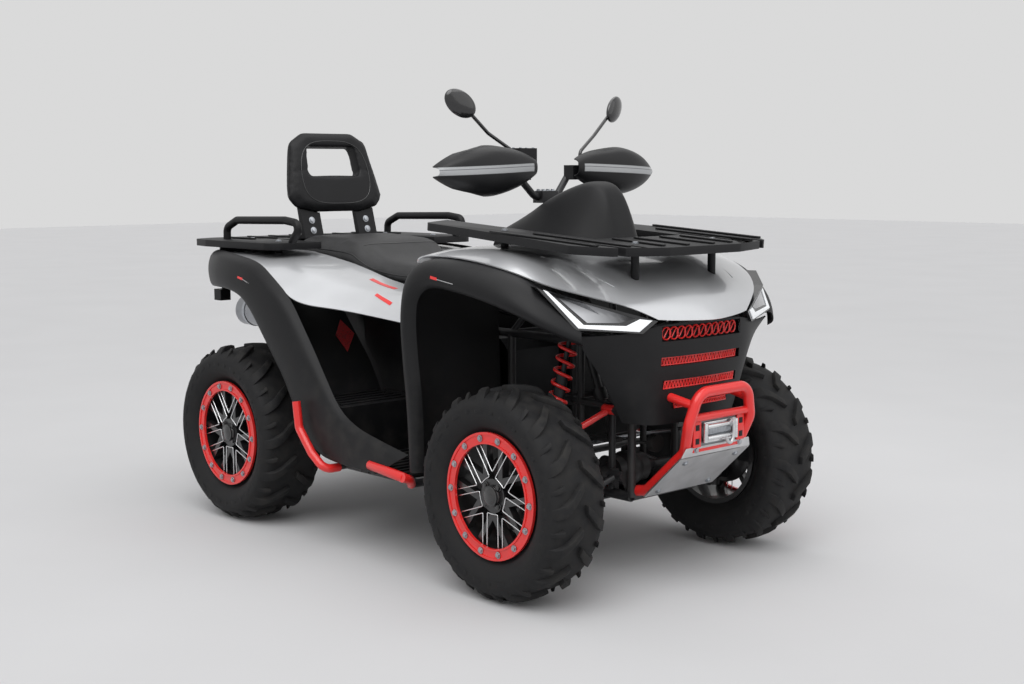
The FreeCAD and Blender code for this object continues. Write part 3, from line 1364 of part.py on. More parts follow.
def make_frame():
    """The tube chassis: twin lower and upper rails, arm mounts, shock towers and the posts of the bodywork."""
    front_end = front_axle_x + rail_front_reach
    rear_end = rear_axle_x - rail_rear_reach
    half = rail_half_gap
    upper_z = upper_rail_z
    rear_z = upper_z + rail_rear_rise
    left = frame_rails(front_end, rear_end, upper_z, rear_z)
    for wheel in wheel_places():
        carrier = carrier_place(wheel)
        front = carrier.x > 0
        reach = arm_inner_spread + pivot_tube_length / 2 + plate_wall + mount_rail_end
        low = V(carrier.x - reach, half, upper_pivot_z)
        left.append(rod(low, low + V(2 * reach, 0, 0), rail_radius * 0.75))
        top = deck_height * 1.1 if front else rear_z
        for x in (carrier.x - upright_rear, carrier.x + upright_front):
            left.append(rod(V(x, half, lower_rail_z), V(x, half, top), rail_radius * upright_share))
        left += arm_mounts(carrier)
        left += shock_tower(carrier, upper_z if front else rear_z)
    crossers = frame_crossers(front_end, rear_end, upper_z, rear_z)
    body = fused(left + [mirrored(shape) for shape in left] + crossers)
    foot = column_point(pitman_z)
    bore = rod(foot, foot + steer_axis() * column_room_length, column_radius + collar_clearance)
    return largest(body.cut(bore).cut(above_hood()))


def bar_points():
    """The bends of the left half of the handlebar, from its middle out to its end."""
    top = column_point(column_top_z)
    return [
        V(top.x, bar_flat_half, top.z),
        V(top.x - bar_rise_back, bar_rise_y, bar_grip_z),
        V(top.x - bar_sweep_start, bar_sweep_y, bar_grip_z + bar_sweep_lift),
        V(top.x - bar_sweep, bar_reach, bar_grip_z),
    ]


def make_bar():
    """The handlebar tube."""
    left = bar_points()
    right = [V(q.x, -q.y, q.z) for q in reversed(left)]
    return tube(right + left, bar_radius, bar_bend)


def make_steering():
    """The steering column with its handlebar and, at its foot, the arm that moves the tie rods."""
    foot = column_point(pitman_z)
    top = column_point(column_top_z)
    arm_low = pitman_z + rod_eye_radius / 2 + pitman_gap
    arm_top = arm_low + steer_arm_thickness
    column_low = column_point(arm_low + steer_arm_thickness / 2)
    pieces = [rod(column_low, top, column_radius)]
    pin_x = foot.x - pitman_drag
    front_x = foot.x + pitman_front_reach
    rear_x = pin_x - pitman_rear_reach
    plate = [
        V(front_x, -pitman_front_half, arm_low), V(front_x, pitman_front_half, arm_low),
        V(rear_x, pitman_rear_half, arm_low), V(rear_x, -pitman_rear_half, arm_low),
    ]
    pieces.append(prism(plate, V(0, 0, steer_arm_thickness), pitman_corner))
    for side in (1, -1):
        pin = V(pin_x, side * pitman_pin_y, arm_top)
        pieces.append(rod(pin - V(0, 0, pitman_pin_length), pin, pitman_pin_radius))
    pieces.append(make_bar())
    clamp = V(clamp_half_length, clamp_half_width, clamp_half_height)
    pieces.append(block(top - clamp, top + clamp))
    return fused(pieces)


def rod_ends(side):
    """The outer and inner pin of one tie rod."""
    carrier = carrier_place(wheel_places()[0])
    outer = V(carrier.x - steer_pin_drag, side * (carrier.y + steer_pin_offset), pitman_z)
    inner = V(column_point(pitman_z).x - pitman_drag, side * pitman_pin_y, pitman_z)
    return outer, inner


def make_tie_rod(side):
    """One tie rod: a snug eye at the knuckle and an open eye at the steering arm."""
    outer, inner = rod_ends(side)
    height = rod_eye_radius
    open_radius = pitman_pin_radius + pitman_pin_clearance
    pieces = [rod(outer, inner, rod_radius)]
    for end, radius in ((outer, rod_eye_radius), (inner, open_radius + open_eye_wall)):
        pieces.append(Part.makeCylinder(radius + rod_eye_lip, height, end - V(0, 0, height / 2), Z_AXIS))
    body = fused(pieces)
    for end, radius in ((outer, pin_radius + pin_clearance), (inner, open_radius)):
        bottom = end - V(0, 0, height / 2 + overrun)
        body = body.cut(Part.makeCylinder(radius, height + 2 * overrun, bottom, Z_AXIS))
    return body


def make_engine():
    """The engine, one plain block at its real size and place."""
    low_z = lower_rail_z + rail_radius + engine_clearance
    high_z = low_z + engine_height_share * deck_height
    y = -engine_half_width
    c = engine_chamfer
    corners = [
        V(engine_rear_x, y, low_z + c), V(engine_rear_x + c, y, low_z), V(engine_front_x - c, y, low_z),
        V(engine_front_x, y, low_z + c), V(engine_front_x, y, high_z - c), V(engine_front_x - c, y, high_z),
        V(engine_rear_x + c, y, high_z), V(engine_rear_x, y, high_z - c),
    ]
    return prism(corners, V(0, 2 * engine_half_width, 0))


def make_skid():
    """The flat guard under the chassis."""
    top = lower_rail_z - rail_radius
    low = V(rear_axle_x - skid_overhang, -skid_half_width, top - skid_thickness)
    return block(low, V(front_axle_x + skid_overhang, skid_half_width, top))


def column_hole():
    """The room for the steering column, for the holes of the hood and the cowl."""
    foot = column_point(pitman_z)
    return rod(foot, foot + steer_axis() * column_room_length, column_radius + column_room)


def make_hood():
    """The hood, with the hole for the steering column."""
    return largest(panel([across(row) for row in body_rows(hood_row_shares)], -panel_wall).cut(column_hole()))


def under_hood():
    """The room under the hood, to seat what stands on the hood."""
    sheet = surface_along([across(row) for row in body_rows(hood_row_shares)])
    room = sheet.extrude(V(0, 0, -hood_depth))
    room.translate(V(0, 0, seat_gap))
    return room


def above_hood():
    """The room from the hood's underside up, to stop the chassis posts under it."""
    sheet = surface_along([across(row) for row in body_rows(hood_row_shares)])
    room = sheet.extrude(V(0, 0, hood_depth))
    room.translate(V(0, 0, -panel_wall - 2 * seat_gap))
    return room


def make_fender():
    """A front fender: its inner wall, its skin and the lip of its wheel arch."""
    return largest(panel(body_rows(fender_row_shares), panel_wall).cut(make_lamp(lamp_gap)))


def make_swoosh():
    """A rear fender, which sweeps from the tail down to the foot board."""
    return panel(body_rows(swoosh_row_shares), panel_wall)


def make_rear_liner():
    """The sheet over and ahead of the rear wheel, between the fender and the chassis."""
    rows = []
    for x, z, outer in rear_liner_path_shares:
        middle = (rear_liner_inner_share + outer) / 2
        rows.append([at(x, y, z) for y in (rear_liner_inner_share, middle, outer)])
    return panel(rows, panel_wall)


def make_side():
    """A side panel, from the hood back along the seat to the tail."""
    return panel(body_rows(side_row_shares), panel_wall)


def make_dome():
    """The cowl ahead of the handlebar, with the hole for the steering column."""
    cowl = panel([across(row) for row in body_rows(dome_row_shares)], -panel_wall)
    return largest(cowl.cut(column_hole()).cut(under_hood()))


def make_seat(extra=0.0):
    """The two-up seat, one closed cushion; extra makes it fatter, to cut its neighbours clear of it."""
    wires = []
    count = len(seat_section_shares)
    for i, (x_share, half_share, low_share, high_share) in enumerate(seat_section_shares):
        ends = extra * (1 if i == 0 else -1 if i == count - 1 else 0)
        low = at(x_share, half_share + seat_flare_share, low_share) + V(ends, extra, -extra)
        high = at(x_share, half_share, high_share) + V(ends, extra, extra)
        corners = [V(low.x, -low.y, low.z), low, high, V(high.x, -high.y, high.z)]
        wires.append(outline(corners, seat_edge_bend))
    return Part.makeLoft(wires, True, False)


def make_backrest():
    """The pillion's backrest pad: layers of its outline lofted together, with the window through it."""
    low = V(backrest_x, 0, backrest_z)
    lean = V(-backrest_lean_share, 0, 1).normalize()
    depth = V(-1, 0, -backrest_lean_share).normalize()
    centre = backrest_height * 0.5
    wires = []
    for step, scale in backrest_layer_shares:
        corners = []
        for y_share, rise_share in backrest_outline_shares:
            rise = centre + (rise_share * backrest_height - centre) * scale
            aside = V(0, y_share * half_width * scale, 0)
            corners.append(low + aside + lean * rise + depth * (step * backrest_depth))
        wires.append(outline(corners, backrest_bend))
    pad = Part.makeLoft(wires, True, True)
    window = []
    for y_share, rise_share in backrest_window_shares:
        window.append(low + V(0, y_share * half_width, 0) + lean * (rise_share * backrest_height))
    start = [q - depth * backrest_depth for q in window]
    return pad.cut(prism(start, depth * (backrest_depth * 3), backrest_window_bend))


def make_posts(backrest):
    """The two flat posts that carry the backrest."""
    low = V(backrest_x, post_inner_y, rear_rack_z + rack_thickness)
    profile = [
        (post_front, 0), (-post_foot_length, 0), (-post_foot_length, post_foot_height),
        (-post_heel_x, post_heel_height), (-post_top_rear, post_height), (-post_top_front, post_height),
    ]
    post = prism([low + V(x, 0, z) for x, z in profile], V(0, post_width, 0))
    return both_sides(largest(post.cut(backrest)))


def rack_plate(row_shares, z):
    """A flat carrier plate from the outline of its left half."""
    half = [V(q.x, q.y, z) for q in [at(*shares) for shares in row_shares]]
    corners = half + [V(q.x, -q.y, q.z) for q in reversed(half)]
    return prism(corners, V(0, 0, rack_thickness), rack_corner_bend)


def rack_slots(x_places, y_places, z):
    """Slots through a rack, on both sides of the middle."""
    slots = []
    reach = V(rack_slot_length / 2, rack_slot_width / 2, rack_thickness * 2)
    for x in x_places:
        for y in y_places:
            for side in ((1, -1) if y else (1,)):
                middle = V(x, side * y, z)
                slots.append(block(middle - reach, middle + reach))
    return slots


def make_front_rack():
    """The front carrier plate with its slots, on its standoffs."""
    slot_y = (front_slot_inner_y, front_slot_inner_y + front_slot_pitch)
    slots = rack_slots((front_slot_rear_x, front_slot_front_x), slot_y, front_rack_rear_z)
    deck = rack_plate(front_rack_shares, front_rack_rear_z).cut(Part.makeCompound(slots))
    room_half = rack_opening_share * half_width
    opening = block(V(0, -room_half, 0), V(rack_opening_end, room_half, 2 * deck_height))
    deck = deck.cut(opening)
    slope = math.degrees(math.atan2(front_rack_rear_z - front_rack_front_z, rack_slope_run))
    deck.rotate(V(rack_slope_start, 0, front_rack_rear_z), Y_AXIS, slope)
    feet = []
    for x, y in ((front_foot_x, front_foot_y), (back_foot_x, back_foot_y)):
        fall = (x - rack_slope_start) * math.tan(math.radians(slope))
        top = front_rack_rear_z - fall + rack_thickness / 2
        for side in (1, -1):
            foot = Part.makeCylinder(rack_foot_radius, top - foot_low_z, V(x, side * y, foot_low_z), Z_AXIS)
            feet.append(foot.cut(under_hood()))
    return fused([deck] + feet)


def make_rear_rack(side_panels):
    """The rear carrier plate, round the back of the seat, on its feet."""
    slot_y = [rear_slot_pitch * step for step in range(rear_slot_steps + 1)]
    deck = rack_plate(rear_rack_shares, rear_rack_z).cut(Part.makeCompound(rack_slots([rear_slot_x], slot_y, rear_rack_z)))
    room_half = rear_opening_share * half_width
    room_low = V(rear_opening_start, -room_half, rear_rack_z - overrun)
    pieces = [deck.cut(block(room_low, V(0, room_half, rear_rack_z + rack_thickness + overrun)))]
    places = (
        (rear_rack_back_foot_x, rear_rack_back_foot_y),
        (rear_rack_front_foot_x, rear_rack_front_foot_y),
    )
    for x, y in places:
        for side in (1, -1):
            low = V(x, side * y, rear_rack_z - rear_foot_drop)
            foot = Part.makeCylinder(rack_foot_radius, rack_thickness + rear_foot_drop, low, Z_AXIS)
            pieces.append(largest(foot.cut(side_panels)))
    return fused(pieces)


def make_grab_rails(rear_rack):
    """The passenger's two grab rails, standing on the rear rack."""
    foot_z = rear_rack_z + rack_thickness
    y = grab_rail_y
    points = [
        V(grab_rail_back_x, y, foot_z),
        V(grab_rail_back_x + grab_rail_back_lean, y, foot_z + grab_rail_rise * 0.55),
        V(grab_rail_top_back_x, y, foot_z + grab_rail_rise * 0.92),
        V(grab_rail_top_front_x, y, foot_z + grab_rail_rise),
        V(grab_rail_nose_x, y, foot_z + grab_rail_rise * 0.85),
        V(grab_rail_front_x, y, foot_z),
    ]
    return both_sides(largest(tube(points, rail_tube_radius, grab_rail_bend).cut(rear_rack)))


def bumper_stays():
    """The ends and the radius of the two stays from the bumper back to the chassis."""
    stays = []
    start_x = front_axle_x + rail_front_reach + rail_radius * 0.85 + seat_gap
    for side in (1, -1):
        start = V(start_x, side * bumper_waist_y, bumper_stay_z)
        end = V(bumper_stay_end_x, side * bumper_stay_end_y, bumper_stay_end_z)
        stays.append((start, end, bumper_tube_radius * 0.8))
    return stays


def make_bumper(frame):
    """The bumper: the hoop round the winch, its cross bars and the stays back to the chassis."""
    left = [
        V(bumper_foot_x, bumper_foot_y, bumper_foot_z), V(bumper_heel_x, bumper_foot_y, bumper_heel_z),
        V(bumper_knee_x, bumper_knee_y, bumper_knee_z), V(bumper_waist_x, bumper_waist_y, bumper_waist_z),
        V(bumper_top_x, bumper_top_y, bumper_top_z),
    ]
    right = [V(q.x, -q.y, q.z) for q in reversed(left)]
    pieces = [tube(left + right, bumper_tube_radius, bumper_bend)]
    for start, end, radius in bumper_stays():
        pieces.append(rod(start, end, radius))
    bars = ((bumper_waist_x, upper_bar_half, upper_bar_z), (lower_bar_x, bumper_knee_y, lower_bar_z))
    for x, half, z in bars:
        pieces.append(rod(V(x, -half, z), V(x, half, z), bumper_tube_radius * 0.7))
    return largest(fused(pieces).cut(frame))


def make_bumper_plate():
    """The silver skid plate at the foot of the bumper."""
    low = V(bumper_plate_rear_x, -bumper_plate_half, bumper_plate_low_z)
    high = V(bumper_plate_front_x, -bumper_plate_half, bumper_plate_high_z)
    step = V(bumper_plate_step, 0, -bumper_plate_step)
    return prism([low, high, high + step, low + step], V(0, 2 * bumper_plate_half, 0))


def make_horn(frame):
    """The horn behind the bumper, on a stay from the chassis."""
    start = V(front_axle_x + rail_front_reach, -rail_half_gap, horn_z)
    middle = V(horn_x, horn_y, horn_z)
    body = Part.makeCylinder(horn_radius, horn_depth, middle, X_AXIS)
    return largest(fused([body, rod(start, middle + V(horn_stay_end, 0, 0), horn_stay_radius)]).cut(frame))


def make_winch():
    """The winch drum housing, its face plate and its foot on the bumper's lower bar."""
    body = Part.makeCylinder(winch_radius, 2 * winch_half_width, V(winch_x, -winch_half_width, winch_z), Y_AXIS)
    half = V(0, winch_plate_half_width, winch_plate_half_height)
    centre = V(winch_plate_x, 0, winch_z)
    plate = block(centre - half, centre + half + V(winch_plate_thickness, 0, 0))
    foot_z = lower_bar_z + bumper_tube_radius * 0.7 + seat_gap
    foot_low = V(winch_foot_x, -winch_foot_half_width, foot_z)
    foot_high = V(winch_plate_x, winch_foot_half_width, foot_z + winch_foot_thickness)
    return fused([body, plate, block(foot_low, foot_high)])


def make_step_bars(frame):
    """The tubes that guard the foot boards: one behind them, one ahead."""
    low_z = lower_rail_z + step_bar_drop
    end_y = outrigger_reach + seat_gap
    rear = [
        V(step_bar_top_x, step_bar_y, step_bar_top_z), V(step_bar_knee_x, step_bar_y, step_bar_knee_z),
        V(step_bar_foot_x, step_bar_y - step_bar_foot_inset, step_bar_foot_z),
        V(outrigger_rear_x, step_bar_y - step_bar_end_inset, low_z), V(outrigger_rear_x, end_y, low_z),
    ]
    front = [
        V(outrigger_front_x, end_y, low_z + front_step_rise),
        V(front_step_knee_x, front_step_knee_y, front_step_knee_z),
        V(front_step_end_x, front_step_end_y, front_step_end_z),
    ]
    tubes = [tube(rear, step_bar_radius, step_bar_bend), tube(front, step_bar_radius, front_step_bend)]
    return Part.makeCompound([both_sides(largest(piece.cut(frame))) for piece in tubes])


def behind_liner():
    """The room behind the rear liner, a little ahead of it too, to keep the foot wells clear."""
    path = [at(x, -1, z) + V(footwell_liner_gap, 0, 0) for x, z, reach in rear_liner_path_shares]
    corners = path + [V(path[-1].x, -half_width, 0), V(path[0].x, -half_width, 0)]
    return prism(corners, V(0, 2 * half_width, 0))


def make_footwell():
    """The foot board, the passenger's step behind it and the upright wall beside the engine."""
    floor_z = lower_rail_z + outrigger_rise + outrigger_radius
    inner = footwell_inner_y
    step_z = step_top_z - footwell_wall
    riser_x = floor_rear_x - riser_wall / 2
    tab_y = footwell_tab_y - footwell_tab_length
    tab_low = V(footwell_tab_x, tab_y, floor_z)
    wall_low = V(footwell_rear_x, inner - footwell_wall, floor_z)
    pieces = [
        block(V(floor_rear_x, inner, floor_z), V(floor_front_x, floor_outer_y, floor_z + footwell_wall)),
        block(V(step_rear_x, inner, step_z), V(floor_rear_x, step_outer_y, step_top_z)),
        block(V(riser_x, inner, floor_z), V(riser_x + riser_wall, step_outer_y, step_top_z)),
        block(wall_low, V(floor_front_x + footwell_wall, inner, footwell_top_z)),
        block(tab_low, tab_low + V(footwell_tab_length, footwell_tab_length, footwell_tab_thickness)),
    ]
    fender = make_swoosh()
    room = [behind_liner(), moved(fender, V(0, -seat_gap, 0)), fender]
    return largest(fused(pieces).cut(room))


def faceted(front, back):
    """A closed solid of flat facets between two rings of points."""
    faces = []
    count = len(front)
    for points, flip in ((front, False), (back, True)):
        middle = V(0, 0, 0)
        for q in points:
            middle += q / count
        for i in range(count):
            corner = [points[i], points[(i + 1) % count], middle]
            faces.append(Part.Face(Part.makePolygon(corner + [corner[0]])))
    for i in range(count):
        j = (i + 1) % count
        for corner in ([front[i], front[j], back[i]], [front[j], back[j], back[i]]):
            faces.append(Part.Face(Part.makePolygon(corner + [corner[0]])))
    solid = Part.makeSolid(Part.makeShell(faces))
    if solid.Volume < 0:
        solid.reverse()
    return solid


def make_lamp(extra=0.0):
    """A headlamp: a slab between its face and its back; extra makes it fatter, to cut its neighbours."""
    corners = [at(*shares) for shares in lamp_outer_shares]
    middle = V(0, 0, 0)
    for q in corners:
        middle += q / len(corners)
    corners = [q + (q - middle).normalize() * extra for q in corners]
    inward = V(-1, -lamp_turn_share, 0).normalize()
    back = inward * (lamp_depth + extra)
    return faceted([q - inward * extra for q in corners], [q + back for q in corners])


def make_fascia():
    """The grille and the wings beside it."""
    face = panel([across(row) for row in body_rows(fascia_row_shares)], panel_wall)
    slots = []
    for low, high, width in slot_height_shares:
        reach = width * half_width
        slot_low = V(slot_rear_x, -reach, low * deck_height)
        slots.append(block(slot_low, V(slot_front_x, reach, high * deck_height)))
    stays = [rod(start, end, radius + seat_gap) for start, end, radius in bumper_stays()]
    lamps = both_sides(make_lamp(lamp_gap)).Solids
    return largest(face.cut(Part.makeCompound(slots + stays + lamps)))


def make_screen():
    """The radiator behind the grille."""
    low_x = front_axle_x + rail_front_reach + rail_radius
    low = V(low_x, -radiator_half_width, radiator_low_z)
    return block(low, V(low_x + radiator_depth, radiator_half_width, radiator_high_z))


def make_rear_panel():
    """The panel that closes the tail between the fenders, with the stubs for the marker lamps."""
    x = tail_x
    wall = rear_panel_wall
    pieces = [block(V(x, -tail_half, rear_panel_low_z), V(x + wall, tail_half, rear_rack_z - seat_gap))]
    stub = block(V(x - stub_back, stub_inner_y, stub_low_z), V(x + stub_front, stub_outer_y, stub_high_z))
    neck_low = V(x, stub_inner_y, stub_high_z - stub_neck_drop)
    neck = block(neck_low, V(x + wall, stub_neck_y, rear_panel_low_z + stub_neck_rise))
    for shape in (stub, neck):
        pieces += [shape, mirrored(shape)]
    return fused(pieces)


def make_tail_lamps():
    """The tail lamps on the rear panel."""
    low = V(tail_x - tail_lamp_depth, tail_lamp_inner_y, tail_lamp_low_z)
    return both_sides(block(low, V(tail_x, tail_lamp_outer_y, tail_lamp_high_z)))


def make_hitch():
    """The tow hitch: a tongue with its ball hole."""
    back = rear_axle_x - rail_rear_reach - rail_radius * 0.8 - seat_gap
    half = tongue_width / 2
    tongue_low = V(back - hitch_length, -half, hitch_z)
    tongue = block(tongue_low, V(back + hitch_root, half, hitch_z + hitch_plate_thickness))
    gusset_low = V(back - hitch_root, -half, lower_rail_z - hitch_gusset_drop)
    gusset = block(gusset_low, V(back, half, hitch_gusset_top))
    hole_low = V(back - hitch_hole_reach, 0, hitch_z - overrun)
    hole = Part.makeCylinder(hitch_hole_radius, hitch_plate_thickness + 2 * overrun, hole_low, Z_AXIS)
    return fused([tongue, gusset]).cut(hole)


def make_muffler():
    """The silencer beside the right rear rail, with its bracket."""
    centre = V(muffler_rear_x, -muffler_y, muffler_z)
    can = Part.makeCylinder(muffler_radius, muffler_length, centre, X_AXIS)
    outlet_low = centre - V(outlet_reach, 0, outlet_reach)
    outlet = Part.makeCylinder(muffler_radius * 0.3, outlet_length, outlet_low, X_AXIS)
    bracket_low = centre + V(muffler_bracket_x, 0, -muffler_bracket_half)
    rail_y = -rail_half_gap - rail_radius * 0.85
    bracket_high = V(bracket_low.x + muffler_bracket_length, rail_y, muffler_z + muffler_bracket_half)
    return fused([can, outlet, block(bracket_low, bracket_high)])


def make_grips():
    """The two rubber grips."""
    points = bar_points()
    inner = points[2]
    outer = points[3]
    along = (outer - inner).normalize()
    start = outer - along * grip_length
    grip = rod(start, outer + along * grip_end, grip_radius).cut(rod(inner, outer, bar_radius))
    return both_sides(grip)


def make_guard():
    """A hand guard: a shell ahead of the grip, on its stay."""
    rows = []
    for y_share, ahead, above, half_share, depth_share in guard_station_shares:
        middle = V(column_top_x, y_share * guard_reach, bar_grip_z)
        middle += V(ahead * guard_height, 0, above * guard_height)
        half = V(0, 0, half_share * guard_height)
        depth = V(depth_share * guard_height, 0, 0)
        rows.append([
            middle - depth - half, middle - half * 0.92, middle + depth * 0.35,
            middle + half * 0.92, middle - depth + half,
        ])
    start = V(column_top_x + switch_front + seat_gap, guard_stay_y, bar_grip_z + guard_stay_rise)
    end = V(column_top_x + switch_front + guard_stay_length, guard_stay_y, start.z)
    return fused([panel(rows, guard_wall), rod(start, end, guard_stay_radius)])


def make_switches():
    """The lever housings on the bar and the brake fluid box on the right one."""
    top = column_point(column_top_z)
    low = V(top.x - switch_back, switch_inner_y, bar_grip_z - switch_drop)
    left = block(low, V(top.x + switch_front, switch_outer_y, bar_grip_z + switch_rise))
    box_low = V(top.x - fluid_box_back, -fluid_box_outer_y, bar_grip_z + switch_rise)
    box = block(box_low, V(top.x + switch_front, -fluid_box_inner_y, box_low.z + fluid_box_height))
    lever_z = bar_grip_z - lever_drop
    points = [
        V(top.x + lever_root_x, lever_root_y, lever_z), V(top.x + lever_knee_x, lever_knee_y, lever_z),
        V(top.x + lever_end_x, lever_end_y, bar_grip_z - lever_end_drop),
    ]
    lever = tube(points, lever_radius, lever_bend)
    bar = make_bar()
    right = fused([mirrored(left), box, mirrored(lever)])
    return Part.makeCompound([fused([left, lever]).cut(bar), right.cut(bar)])


def make_mirror():
    """A mirror head on its bent stalk."""
    foot = V(mirror_foot_x, mirror_foot_y, bar_grip_z + switch_rise)
    points = [
        foot, V(mirror_foot_x, mirror_foot_y, mirror_elbow_z), V(mirror_arm_x, mirror_arm_y, mirror_arm_z),
        V(mirror_neck_x, mirror_neck_y, mirror_neck_z),
    ]
    stalk = tube(points, mirror_stalk_radius, mirror_stalk_bend)
    matrix = FreeCAD.Matrix()
    matrix.scale(mirror_half_depth, mirror_half_width, mirror_half_height)
    head = Part.makeSphere(1.0).transformGeometry(matrix)
    head.rotate(V(0, 0, 0), X_AXIS, mirror_roll_degrees)
    head.rotate(V(0, 0, 0), Z_AXIS, mirror_turn_degrees)
    head.translate(V(mirror_x, mirror_y, mirror_z))
    return fused([stalk, head])


if __name__ == "__main__":
    front_wheel, rear_wheel = wheel_places()
    for name, place, width in (("front", front_wheel, front_tyre_width), ("rear", rear_wheel, rear_tyre_width)):
        for piece, make in (("tyre", make_tyre), ("rim", make_rim), ("bead_ring", make_bead_ring)):
            left = moved(make(width), place)
            save(piece + "_" + name + "_left", left)
            save(piece + "_" + name + "_right", mirrored(left))
    front_carrier = carrier_place(front_wheel)
    rear_carrier = carrier_place(rear_wheel)
    knuckle = moved(make_knuckle(True), front_carrier)
    save("knuckle_left", knuckle)
    save("knuckle_right", mirrored(knuckle))
    save("rear_carriers", both_sides(moved(make_knuckle(False), rear_carrier)))
    front_lower, front_upper = make_arms(front_carrier)
    rear_lower, rear_upper = make_arms(rear_carrier)
    save("lower_arms", Part.makeCompound([both_sides(front_lower), both_sides(rear_lower)]))
    save("upper_arms", Part.makeCompound([both_sides(front_upper), both_sides(rear_upper)]))
    dampers = []
    springs = []
    for carrier in (front_carrier, rear_carrier):
        lower, upper = shock_ends(carrier)
        dampers.append(both_sides(make_damper(lower, upper)))
        springs.append(both_sides(make_spring(lower, upper)))
    save("dampers", Part.makeCompound(dampers))
    save("coil_springs", Part.makeCompound(springs))
    save("front_drive", make_drive(front_carrier))
    save("rear_drive", make_drive(rear_carrier))
    frame = make_frame()
    save("frame", frame)
    save("handlebar", make_steering())
    save("tie_rod_left", make_tie_rod(1))
    save("tie_rod_right", make_tie_rod(-1))
    save("engine", make_engine())
    save("belly_skid", make_skid())
    save("hood", make_hood())
    save("front_fenders", both_sides(make_fender()))
    save("rear_fenders", both_sides(make_swoosh()))
    save("rear_liners", both_sides(make_rear_liner()))
    side = largest(make_side().cut(make_seat(seat_gap)))
    side_panels = both_sides(side)
    save("side_panels", side_panels)
    save("dash_cowl", make_dome())
    save("seat", make_seat())
    backrest = make_backrest()
    save("backrest", backrest)
    save("backrest_posts", make_posts(backrest))
    save("front_rack", make_front_rack())
    rear_rack = make_rear_rack(side_panels)
    save("rear_rack", rear_rack)
    save("grab_rails", make_grab_rails(rear_rack))
    save("bumper", make_bumper(frame))
    save("horn", make_horn(frame))
    save("bumper_plate", make_bumper_plate())
    save("winch", make_winch())
    save("step_bars", make_step_bars(frame))
    save("footwells", both_sides(make_footwell()))
    save("headlamps", both_sides(make_lamp()))
    save("front_grille", make_fascia())
    save("radiator", make_screen())
    save("rear_panel", make_rear_panel())
    save("tail_lamps", make_tail_lamps())
    save("hitch", make_hitch())
    save("muffler", make_muffler())
    save("switchgear", make_switches())
    save("grips", make_grips())
    save("hand_guards", both_sides(make_guard()))
    save("mirrors", both_sides(make_mirror()))
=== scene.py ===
import json
import math

import bmesh
import bpy
from mathutils import Matrix, Vector
from mathutils.bvhtree import BVHTree

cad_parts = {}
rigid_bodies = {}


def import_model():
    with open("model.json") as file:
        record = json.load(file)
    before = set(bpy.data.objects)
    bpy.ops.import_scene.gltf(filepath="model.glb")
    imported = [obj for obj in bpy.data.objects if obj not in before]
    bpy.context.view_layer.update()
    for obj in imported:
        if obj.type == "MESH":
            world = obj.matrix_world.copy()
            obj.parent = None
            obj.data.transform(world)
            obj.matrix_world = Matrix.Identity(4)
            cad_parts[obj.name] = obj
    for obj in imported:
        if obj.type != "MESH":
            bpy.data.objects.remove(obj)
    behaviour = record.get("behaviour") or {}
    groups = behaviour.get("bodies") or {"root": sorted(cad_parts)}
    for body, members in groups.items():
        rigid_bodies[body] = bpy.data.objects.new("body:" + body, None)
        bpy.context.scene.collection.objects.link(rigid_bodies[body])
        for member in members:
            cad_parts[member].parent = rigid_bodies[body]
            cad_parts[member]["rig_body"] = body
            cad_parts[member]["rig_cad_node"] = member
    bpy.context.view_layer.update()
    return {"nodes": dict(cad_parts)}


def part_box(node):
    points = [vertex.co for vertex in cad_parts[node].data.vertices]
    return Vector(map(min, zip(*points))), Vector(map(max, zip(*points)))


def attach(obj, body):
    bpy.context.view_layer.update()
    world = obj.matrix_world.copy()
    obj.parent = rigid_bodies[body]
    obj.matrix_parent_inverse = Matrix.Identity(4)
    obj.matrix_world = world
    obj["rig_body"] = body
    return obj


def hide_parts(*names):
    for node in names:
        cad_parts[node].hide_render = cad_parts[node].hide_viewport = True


bl_info = {
    "name": "Quad Bike Looks",
    "version": (1, 0, 0),
    "blender": (4, 5, 0),
    "location": "View3D > Sidebar > Quad Bike",
    "description": "Finishes the quad bike's packed frame and models its seat, tyres, lamps and trim",
    "category": "Object",
}

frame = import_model()
nodes = frame["nodes"]
WHEELS = ("front_left", "front_right", "rear_left", "rear_right")
Y_AXIS = Vector((0, 1, 0))
Z_AXIS = Vector((0, 0, 1))
DOWN = (0, 0, -1)
FORWARD = (1, 0, 0)
BACKWARD = (-1, 0, 0)
ABOVE_RACKS = 1.3  # a height that rays come down from
MERGE_DISTANCE = 0.00002
SEAM_RADIUS = 0.0018
STUFFING_FRAMES = 20
AXLE_HEIGHT = 0.330


# Shader maths

class Value:
    """A socket of a shader, with Python's operators as Math nodes."""

    def __init__(self, finish, socket):
        self.finish = finish
        self.socket = socket

    def __add__(self, other):
        return self.finish.math("ADD", self, other)

    __radd__ = __add__

    def __sub__(self, other):
        return self.finish.math("SUBTRACT", self, other)

    def __rsub__(self, other):
        return self.finish.math("SUBTRACT", other, self)

    def __mul__(self, other):
        return self.finish.math("MULTIPLY", self, other)

    __rmul__ = __mul__

    def __abs__(self):
        return self.finish.math("ABSOLUTE", self)

    def over(self, low, high):
        """0 below low, 1 above high and a ramp between."""
        inputs = {0: self, 1: low, 2: high, 3: 0.0, 4: 1.0}
        return self.finish.node("ShaderNodeMapRange", {"clamp": True}, inputs)

    def between(self, low, high, edge):
        """1 from low to high and 0 outside, with soft edges."""
        return self.over(low - edge, low + edge) * (1 - self.over(high - edge, high + edge))


